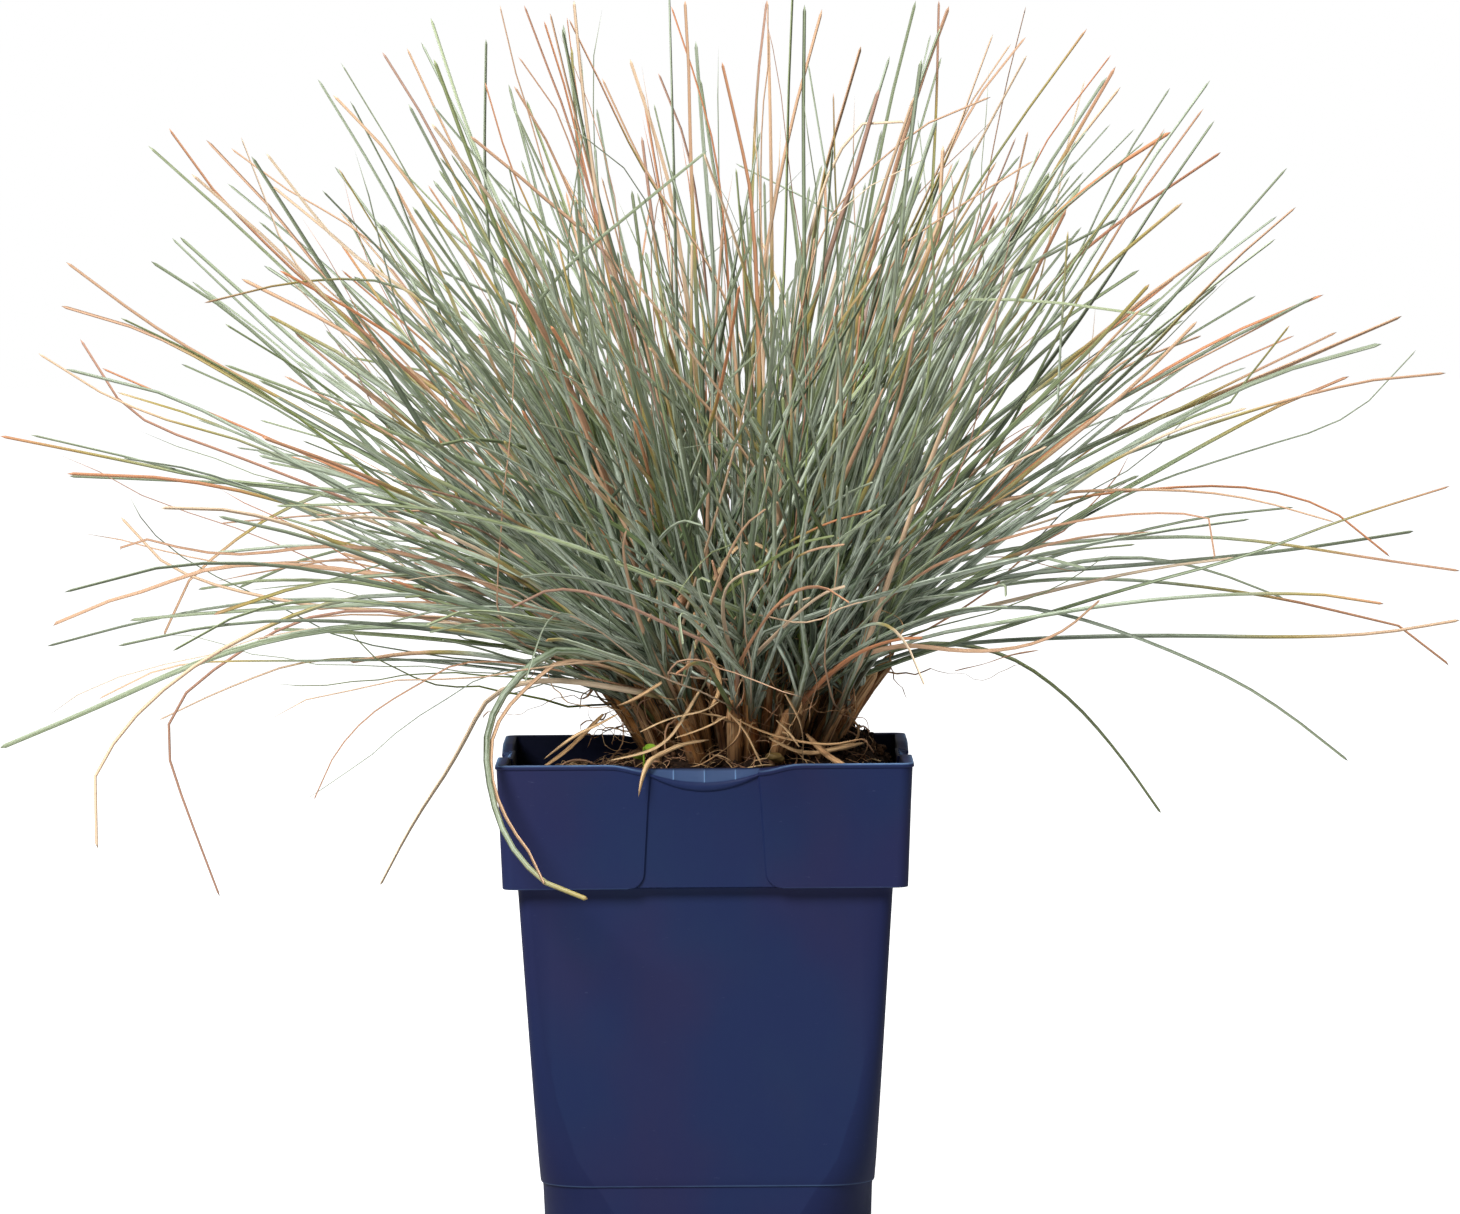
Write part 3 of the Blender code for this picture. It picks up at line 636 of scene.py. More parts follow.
def potLevels():
    # The skin from the underside up, over the rim and down inside, with a dictionary of the painted light at
    # its points: how strong a painted highlight lies there, 1 for what lies inside, where shade is painted,
    # and 1 for what is on a corner of the body, where shade is painted too.
    plain, flush = (0.0, 0.0, 0.0), (0.0, 0.0, 0.0, False)
    foot, collar = pot["footLine"], pot["collarFoot"]
    base, wall = pot["baseHalf"], pot["wall"]
    edge = pot["panelEdge"][1]
    skin, paintedLight = [], {}

    def add(z, half, radius, corner=plain, middle=flush, at=edge, paintedHighlight=0.0, inside=0.0):
        skin.append(potLevel(z, half, radius, at, corner, middle))
        for (_, _, along, _), spot in zip(potRing(half, radius, at), skin[-1]):
            # light is the painted highlight at each spot; in the dip it fades towards the middle and lies on
            # the ribs and, faintly, on the lit slope of the scoop
            light = paintedHighlight
            if along is not None and middle[3]:
                beyond = (abs(along) - at) / (pot["dipEdge"] - at)
                light *= min(1.0, 0.25 + 0.75 * max(0.0, beyond))
                if beyond < 0:
                    light = 0.16 + 0.84 * onRib(along) if middle[2] > 0 else 0.0
            # corners of the body below the collar get the painted corner shade
            turned = float(along is None and z < pot["collarFoot"])
            paintedLight[spotKey(spot)] = (light, inside, turned)

    add(0.0, base - 3.2 * mm, 13 * mm)
    add(0.0, base - 1.4 * mm, 15 * mm)
    add(0.2 * mm, base - 0.7 * mm, 15.5 * mm)
    add(0.7 * mm, base - 0.2 * mm, 16 * mm)
    add(1.4 * mm, base, 16 * mm)
    for share in (0.3, 0.6, 0.9):
        z = 1.4 * mm + (foot - 1.8 * mm) * share
        add(z, base + (bodyHalf(foot) - 0.5 * mm - base) * share, cornerRadius(z))
    add(foot - 0.25 * mm, bodyHalf(foot) - 0.45 * mm, cornerRadius(foot))
    # a thin painted highlight along the foot line
    add(foot - 0.05 * mm, bodyHalf(foot) - 0.10 * mm, cornerRadius(foot), paintedHighlight=0.3)
    add(foot + 0.25 * mm, bodyHalf(foot), cornerRadius(foot))
    for z in (12, 16, 20, 24, 29, 35, 41, 48, 54, 62, 69, 73.5):
        add(z * mm, bodyHalf(z * mm), cornerRadius(z * mm))
    add(collar - 0.35 * mm, bodyHalf(collar), 2.7 * mm)
    add(collar - 0.05 * mm, bodyHalf(collar) + 0.15 * mm, 2.7 * mm)
    collarHalf = pot["collarFootHalf"]
    flare = pot["panelEdge"][2]
    proud = -pot["panelProud"]
    add(collar, bodyHalf(collar) + 1.2 * mm, 2.7 * mm, at=flare)
    sunk = (proud, -0.3 * mm, 0.0, False)
    add(collar, collarHalf - 0.8 * mm, pot["rimRound"], plain, (proud, -0.2 * mm, 0.0, False), flare)
    add(collar, collarHalf - 0.3 * mm, pot["rimRound"], plain, sunk, flare)
    # a faint painted highlight along the collar's lower edge
    add(collar + 0.1 * mm, collarHalf - 0.05 * mm, pot["rimRound"], plain, sunk, flare, 0.1)
    for up in (0.4, 0.9, 1.5, 2.2, 3.0, 4.2, 7, 10, 13, 16, 18.5):
        z = collar + up * mm
        half = collarHalf + (rimHalf - 0.34 * mm - collarHalf) * up * mm / (potHeight - collar)
        add(z, half, pot["rimRound"], plain, (proud, 0.0, 0.0, False), panelEdgeAt(z))
    rimFace = rimHalf - 0.34 * mm
    top = pot["panelEdge"][0]
    for k, (outA, downA, outB, downB) in enumerate(rimSection):
        inward = min(1.0, max(0.0, -outA / 2.0))
        fall = (pot["dipStep"] * (1 - inward) + 0.9 * mm * inward) * (k < 13)
        rib = 0.30 * mm if 7 <= k <= 10 else 0.0
        radius = pot["rimRound"] - 1.4 * mm * inward
        # a painted highlight along the lip's outer top edge
        paintedHighlight = (0.0, 0.0, 0.0, 0.0, 0.0, 0.5, 0.85, 0.3, 0.05)[k] if k < 9 else 0.0
        # rings past the lip's inner edge get the painted shade of the inside
        add(potHeight, rimFace, radius, (outA * mm, downA * mm, fall),
            (outB * mm, downB * mm, rib, k < 10), top, paintedHighlight, float(k > 9))
    # the inner walls, all painted in shade
    inner = rimFace - 3.0 * mm
    add(potHeight - 8.0 * mm, inner, 1.5 * mm, inside=1.0)
    add(collar + 2.2 * mm, collarHalf - wall - 0.55 * mm, 1.5 * mm, inside=1.0)
    add(collar + 0.8 * mm, pot["bodyTopHalf"] - wall - 0.2 * mm, 1.5 * mm, inside=1.0)
    for z in (54, 29, 12):
        radius = max(1.5 * mm, cornerRadius(z * mm) - 0.8 * mm)
        add(z * mm, bodyHalf(z * mm) - wall, radius, inside=1.0)
    add(pot["floor"], base - wall - 1.0 * mm, 14 * mm, inside=1.0)
    return skin, paintedLight


def spotKey(spot):
    return tuple(round(value / (0.001 * mm)) for value in spot)


def makePot():
    skin, paintedLight = potLevels()
    deselectAll()
    bpy.ops.mesh.primitive_circle_add(
        vertices=len(skin[0]), radius=pot["baseHalf"], fill_type="NGON")
    piece = bpy.context.object
    piece.name = "blue_pot"
    bpy.ops.object.mode_set(mode="EDIT")
    bpy.ops.mesh.select_all(action="SELECT")
    bm = bmesh.from_edit_mesh(piece.data)
    placeRing(bm, skin[0])
    for level in skin[1:]:
        bpy.ops.mesh.extrude_region_move()
        bm = bmesh.from_edit_mesh(piece.data)
        placeRing(bm, level)
    bpy.ops.mesh.select_all(action="SELECT")
    bpy.ops.mesh.normals_make_consistent(inside=False)
    bpy.ops.object.mode_set(mode="OBJECT")
    cutDrains(piece)
    marks = np.array([paintedLight.get(spotKey(v.co), (0, 0, 0)) for v in piece.data.vertices], np.float32)
    # marks for the painted highlight, the painted shade inside and the painted shade on the body's corners
    for name, values in zip(("worn", "inside", "turned"), marks.T.copy()):
        layer = piece.data.attributes.new(name, "FLOAT", "POINT")
        layer.data.foreach_set("value", values)
    return piece


def placeRing(bm, level):
    # The selected ring keeps its order, so its first vertex is the one nearest the first spot.
    chosen = [v for v in bm.verts if v.select]
    order = [chosen[0]]
    while len(order) < len(chosen):
        step = next(
            e.other_vert(order[-1]) for e in order[-1].link_edges
            if e.select and e.other_vert(order[-1]) not in order[-2:]
        )
        order.append(step)
    for vertex, spot in zip(order, level):
        vertex.co = spot


def cutDrains(piece):
    spread = pot["drainSpread"]
    for x in (-spread, spread):
        for y in (-spread, spread):
            deselectAll()
            bpy.ops.mesh.primitive_cylinder_add(
                vertices=32, radius=pot["drainHole"] / 2, depth=4 * pot["floor"], location=(x, y, 0)
            )
            cutter = bpy.context.object
            hole = piece.modifiers.new("drain hole", "BOOLEAN")
            hole.object = cutter
            hole.solver = "EXACT"
            deselectAll()
            piece.select_set(True)
            bpy.context.view_layer.objects.active = piece
            bpy.ops.object.modifier_apply(modifier=hole.name)
            bpy.data.objects.remove(cutter)


# The potting mix

mixLook = {
    "half": 42.2 * mm,
    "corner": 2.0 * mm,
    "cuts": 170,
    "lump": 1.1 * mm,
    "crumbs": 2600,
    "fibres": 520,
}


def makeMix(height):
    # A fine sheet laid over the CAD mix, then drawn down inside the pot and closed.
    half = mixLook["half"]
    deselectAll()
    bpy.ops.mesh.primitive_grid_add(
        x_subdivisions=mixLook["cuts"], y_subdivisions=mixLook["cuts"], size=2 * half
    )
    piece = bpy.context.object
    piece.name = "mix_bed"
    bpy.ops.object.mode_set(mode="EDIT")
    bm = bmesh.from_edit_mesh(piece.data)
    rng = np.random.default_rng(31)
    waves = rng.uniform(-1, 1, (40, 2)) * 2600
    phases = rng.uniform(0, 2 * math.pi, 40)
    for v in bm.verts:
        x, y = v.co.x, v.co.y
        pull = roundCorner(x, y, half, mixLook["corner"])
        x, y = x * pull, y * pull
        ripple = float(np.mean(np.sin(waves @ np.array([x, y]) + phases))) * 3.2
        v.co = (x, y, height(x * 0.985, y * 0.985) + ripple * mixLook["lump"] - 0.2 * mm)
    rim = [e for e in bm.edges if e.is_boundary]
    for item in list(bm.verts) + list(bm.edges) + list(bm.faces):
        item.select = False
    for edge in rim:
        edge.select = True
    bm.select_flush_mode()
    bmesh.update_edit_mesh(piece.data)
    walls = ((86, 0.990), (77.6, 0.975), (75.6, 0.905), (29, 0.845), (12, 0.815), (1.9, 0.76))
    for z, share in walls:
        bpy.ops.mesh.extrude_region_move()
        bm = bmesh.from_edit_mesh(piece.data)
        for v in (v for v in bm.verts if v.select):
            reach = max(abs(v.co.x), abs(v.co.y))
            radius = cornerRadius(z * mm)
            flat = Vector((v.co.x, v.co.y)) * (half * share / reach)
            pull = roundCorner(flat.x, flat.y, half * share, max(radius, 1.6 * mm))
            v.co = (flat.x * pull, flat.y * pull, z * mm)
        bmesh.update_edit_mesh(piece.data)
    bpy.ops.mesh.edge_face_add()
    bpy.ops.mesh.select_all(action="SELECT")
    bpy.ops.mesh.normals_make_consistent(inside=False)
    bpy.ops.object.mode_set(mode="OBJECT")
    tint = piece.data.attributes.new("tint", "FLOAT", "POINT")
    tint.data.foreach_set("value", np.zeros(len(piece.data.vertices), np.float32))
    return piece


def roundCorner(x, y, half, radius):  # how far a point of a square is pulled in for round corners
    ax, ay = abs(x), abs(y)
    centre = half - radius
    reach = max(ax, ay)
    if reach < 1e-9 or min(ax, ay) * half / reach < centre:
        return 1.0
    slope = min(ax, ay) / reach
    a = 1 + slope * slope
    b = -2 * centre * (1 + slope)
    c = 2 * centre * centre - radius * radius
    edge = (-b + math.sqrt(max(0.0, b * b - 4 * a * c))) / (2 * a)
    return 1 - (1 - edge / half) * (reach / half) ** 6


def stoneShapes(rng, count, faces):  # a few lumpy forms that the crumbs are copied from
    shapes = []
    for _ in range(count):
        bm = bmesh.new()
        bmesh.ops.create_icosphere(bm, subdivisions=faces, radius=1.0)
        points = np.array([v.co for v in bm.verts])
        bm.verts.index_update()
        corners = [[v.index for v in f.verts] for f in bm.faces]
        bm.free()
        points *= 1 + rng.uniform(-0.28, 0.28, (len(points), 1))
        points *= rng.uniform(0.55, 1.25, 3)
        shapes.append((points, np.array(corners)))
    return shapes


def randomTurns(rng, count):
    quats = rng.normal(size=(count, 4))
    quats /= np.linalg.norm(quats, axis=1, keepdims=True)
    w, x, y, z = quats.T
    return np.stack([
        1 - 2 * (y * y + z * z), 2 * (x * y - z * w), 2 * (x * z + y * w),
        2 * (x * y + z * w), 1 - 2 * (x * x + z * z), 2 * (y * z - x * w),
        2 * (x * z - y * w), 2 * (y * z + x * w), 1 - 2 * (x * x + y * y),
    ], axis=1).reshape(-1, 3, 3)


def makeCrumbs(height):
    rng = np.random.default_rng(8)
    shapes = stoneShapes(rng, 12, 1) + stoneShapes(rng, 8, 2)
    count = mixLook["crumbs"]
    turns = randomTurns(rng, count)
    points, faces, tints, start = [], [], [], 0
    for i in range(count):
        heap = rng.random() < 0.42
        if heap:
            x = rng.normal(31 * mm, 7.5 * mm)
            y = rng.normal(10 * mm, 13 * mm)
        else:
            x, y = rng.uniform(-41 * mm, 41 * mm, 2)
        if max(abs(x), abs(y)) > 41 * mm:
            continue
        size = rng.lognormal(math.log(0.42 * mm), 0.45)
        size = min(size, 1.25 * mm)
        shape, corners = shapes[rng.integers(12, 20)] if size > 0.6 * mm else shapes[rng.integers(12)]
        lift = size * rng.uniform(0.1, 0.9) + (rng.exponential(0.5 * mm) if heap else 0.0)
        spot = np.array([x, y, height(x, y) + lift])
        points.append(shape @ turns[i].T * size + spot)
        faces.append(corners + start)
        tints.append(np.full(len(shape), rng.random()))
        start += len(shape)
    mesh = bpy.data.meshes.new("crumbs")
    mesh.from_pydata(np.concatenate(points).tolist(), [], [f for c in faces for f in c.tolist()])
    tint = mesh.attributes.new("tint", "FLOAT", "POINT")
    tint.data.foreach_set("value", np.concatenate(tints).astype(np.float32))
    piece = bpy.data.objects.new("crumbs", mesh)
    bpy.context.scene.collection.objects.link(piece)
    return piece


# The clump

clump = {
    "seed": 4,
    "centre": (9 * mm, 2 * mm),
    "radius": 22.0 * mm,
    "tillers": 124,
    "outerLean": 47,
    "sheathLength": (12 * mm, 25 * mm),
    "sheathWidth": (2.0 * mm, 3.6 * mm),
    "bladesPerTiller": 12,
    "bladeLength": (52 * mm, 162 * mm),
    "bladeWidth": 1.27 * mm,
    "bladeSteps": 16,
    "wholeDry": 0.05,
    "dryTips": 0.24,
    "frontFloor": 119 * mm,   # a blade that comes forward stays above this, so the pot shows
    "sideFloor": 82 * mm,
    "rightFloor": 125 * mm,
    "rightReach": (30 * mm, 58 * mm, 0.70),   # where long blades thin out, and how many are lost
    "leftReach": (50 * mm, 84 * mm, 0.45),
    "topReach": (98 * mm, 128 * mm, 0.74),    # above the rim, over the middle
    "lowReach": (0 * mm, 5 * mm, 0.80),       # below a line, low on the left
    "depthReach": (78 * mm, 104 * mm, 0.3),
    "kinked": 0.06,
    "strays": 0.28,           # blades that cross the rest
    "sectors": ("front", "front_right", "back_right", "back", "back_left", "front_left"),
}


def growTillers(height):
    rng = np.random.default_rng(clump["seed"])
    count = clump["tillers"]
    share = np.sqrt((np.arange(count) + 0.5) / count)
    azimuth = np.arange(count) * math.pi * (3 - math.sqrt(5)) + rng.normal(0, 0.15, count)
    radius = clump["radius"] * share * rng.normal(1, 0.05, count)
    x = clump["centre"][0] + radius * np.cos(azimuth)
    y = clump["centre"][1] + radius * np.sin(azimuth)
    z = np.array([height(a, b) for a, b in zip(x, y)]) - 1.5 * mm
    lean = np.radians(clump["outerLean"] * share**1.1 + rng.normal(0, 4, count))
    return {
        "base": np.stack([x, y, z], axis=1),
        "share": share,
        "azimuth": azimuth + rng.normal(0, 0.12, count),
        "lean": lean,
        "length": rng.uniform(*clump["sheathLength"], count),
        "width": rng.uniform(*clump["sheathWidth"], count),
    }


def sheathPaths(tillers, steps):
    s = np.linspace(0, 1, steps)
    leans = tillers["lean"][:, None] * (0.55 + 0.45 * s)
    azimuths = np.repeat(tillers["azimuth"][:, None], steps, axis=1)
    return walk(tillers["base"], leans, azimuths, tillers["length"])


def makeSheaths(tillers):
    rng = np.random.default_rng(17)
    steps = 11
    paths = sheathPaths(tillers, steps)
    s = np.linspace(0, 1, steps)
    shape = 0.85 + 0.25 * np.sin(s * 2.4) - 0.55 * s**3
    widths = tillers["width"][:, None] * shape
    widths = widths * (1 + rng.normal(0, 0.05, widths.shape))
    facings = leanTo(np.full(len(paths), 1.4), tillers["azimuth"] + math.pi)
    twists = rng.uniform(0, 6, (len(paths), 1)) + rng.normal(0, 0.3, (len(paths), 1)) * s
    marks = {"tint": rng.random(len(paths))}
    return strandMesh("sheaths", paths, widths, facings, twists, roundSection, marks)


def drawBlades(rng, tillers, owners):
    # One try at a blade for each owner: its path and how far it leans at last.
    count = len(owners)
    steps = clump["bladeSteps"]
    sheath = sheathPaths(tillers, 11)
    rung = rng.integers(2, 11, count)
    starts = sheath[owners, rung] + rng.normal(0, 0.45 * mm, (count, 3))
    lean0 = tillers["lean"][owners] * (0.55 + 0.45 * rung / 10)
    share = tillers["share"][owners]
    azimuth0 = tillers["azimuth"][owners]
    swing = np.radians(rng.normal(0, 1, count) * (18 + 58 * (1 - share) ** 1.4))
    swing = np.where(rng.random(count) < clump["strays"], swing * 3, swing)
    fan = np.radians(rng.normal(18, 20, count) * (0.35 + 0.75 * share))
    lean1 = np.abs(lean0 + fan)
    droop = np.radians(rng.uniform(-4, 16, count) + 24 * np.sin(lean1) ** 2 * rng.uniform(0.2, 1.6, count))
    drift = np.radians(rng.normal(0, 18, count))
    low, high = clump["bladeLength"]
    length = low + (high - low) * rng.beta(1.9, 1.25, count)
    s = np.linspace(0, 1, steps)
    turnIn = ease(s / 0.16)
    wobble = np.radians(rng.normal(0, 3.0, (count, 1)))
    phase = rng.uniform(0, 6.28, (count, 1))
    kinkAt = rng.uniform(0.3, 0.85, (count, 1))
    kink = np.where(rng.random(count) < clump["kinked"], rng.normal(0, 0.5, count), 0.0)[:, None]
    kink = kink * ease((s - kinkAt) / 0.07)
    leans = lean0[:, None] + (lean1 - lean0)[:, None] * turnIn + droop[:, None] * s**1.8
    leans = leans + wobble * np.sin(s * 8 + phase) + kink
    azimuths = azimuth0[:, None] + swing[:, None] * turnIn + drift[:, None] * s
    azimuths = azimuths + 1.6 * wobble * np.cos(s * 6 + phase) + kink
    return walk(starts, leans, azimuths, length), leans[:, -1], azimuths[:, -1]


def keepsOff(paths):  # False for a blade that leaves the CAD box or would hide the pot
    margin = 6 * mm
    low = np.array(cadBox[0]) - margin
    high = np.array(cadBox[1]) + margin
    tips = paths.reshape(len(paths), -1, 3)
    inside = ((tips > low) & (tips < high)).all(axis=(1, 2))
    x, y, z = tips[:, :, 0], tips[:, :, 1], tips[:, :, 2]
    front = (y < -40 * mm) & (np.abs(x) < 70 * mm)
    inside &= ~((front & (z < clump["frontFloor"])).any(axis=1))
    inside &= (z > clump["sideFloor"]).all(axis=1)
    inside &= ~((x > 35 * mm) & (z < clump["rightFloor"])).any(axis=1)
    over = (np.abs(x) < rimHalf + 2 * mm) & (np.abs(y) < rimHalf + 2 * mm)
    inside &= ~((over & (z < potHeight + 1.5 * mm)).any(axis=1))
    return inside


def thinsOut(rng, paths):  # True for a blade that is left out where the real clump is sparse
    tips = paths[:, -1]
    reaches = {
        "rightReach": tips[:, 0] - 0.9 * np.maximum(0.0, tips[:, 2] - 190 * mm),
        "leftReach": -tips[:, 0],
        "topReach": tips[:, 2] - potHeight - 0.7 * np.maximum(0.0, np.abs(tips[:, 0] - 13 * mm) - 32 * mm),
        "lowReach": np.where(paths[:, :, 0] < -38 * mm, 124 * mm - paths[:, :, 2], -1.0).max(axis=1),
        "depthReach": np.abs(tips[:, 1]),
    }
    lost = np.zeros(len(paths), dtype=bool)
    for name, reach in reaches.items():
        start, full, share = clump[name]
        lost |= rng.random(len(paths)) < share * ease((reach - start) / (full - start))
    return lost


def growBlades(tillers):
    rng = np.random.default_rng(clump["seed"] + 1)
    owners = np.repeat(np.arange(clump["tillers"]), clump["bladesPerTiller"])
    paths, lean, azimuth = drawBlades(rng, tillers, owners)
    poor = ~keepsOff(paths)
    for _ in range(14):
        spots = np.flatnonzero(poor)
        if not len(spots):
            break
        again, againLean, againAzimuth = drawBlades(rng, tillers, owners[spots])
        paths[spots], lean[spots], azimuth[spots] = again, againLean, againAzimuth
        poor[spots] = ~keepsOff(again)
    good = ~poor & ~thinsOut(rng, paths)
    return paths[good], lean[good], azimuth[good]


def bluntTips(paths):  # draws the last ring close to the tip, so that a blade ends blunt
    paths[:, -2] += 0.85 * (paths[:, -1] - paths[:, -2])
    return paths


def bladeWidths(rng, count, steps, width):
    s = np.linspace(0, 1, steps)
    taper = (1 - 0.56 * s) * (0.8 + 0.2 * ease(s / 0.1))
    return width * rng.lognormal(0, 0.23, (count, 1)) * taper


def makeBlades(tillers):
    paths, lean, azimuth = growBlades(tillers)
    rng = np.random.default_rng(clump["seed"] + 2)
    count, steps, _ = paths.shape
    widths = bladeWidths(rng, count, steps, clump["bladeWidth"])
    facings = leanTo(np.full(count, 1.2), azimuth + math.pi)
    s = np.linspace(0, 1, steps)
    twists = rng.normal(0, 0.9, (count, 1)) + rng.normal(0, 1.1, (count, 1)) * s
    low = np.clip((np.degrees(lean) - 45) / 50, 0, 1)
    dice = rng.random(count)
    whole = clump["wholeDry"] * (0.6 + 1.8 * low)
    dryFrom = np.where(dice < whole, -0.3, 1.4)
    tipped = (dice >= whole) & (dice < whole + clump["dryTips"])
    dryFrom = np.where(tipped, rng.uniform(0.55, 1.0, count), dryFrom)
    marks = {"tint": rng.random(count), "dryFrom": dryFrom,
             "bloom": np.where(rng.random(count) < 0.48, 0.05, 0.8) + rng.uniform(0, 0.4, count)}
    sectors = sectorOf(azimuth)
    pieces = []
    paths = bluntTips(paths)
    for k, name in enumerate(clump["sectors"]):
        own = sectors == k
        chosen = {mark: value[own] for mark, value in marks.items()}
        pieces.append(strandMesh(
            "blades_" + name, paths[own], widths[own], facings[own], twists[own],
            foldedSection, chosen,
        ))
    print("blades:", count)
    return pieces


def sectorOf(azimuth):  # which sixth of the compass, counted from the front, to the right
    return np.floor(np.mod(azimuth + math.pi / 2 + math.pi / 6, 2 * math.pi) / (math.pi / 3)).astype(int)


def tuftsBySector():
    found = [[] for _ in clump["sectors"]]
    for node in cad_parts:
        if node.startswith("leaf_tuft"):
            low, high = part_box(node)
            middle = (low + high) / 2
            away = math.atan2(middle.y - clump["centre"][1], middle.x - clump["centre"][0])
            found[int(sectorOf(np.array([away]))[0])].append(node)
    return found


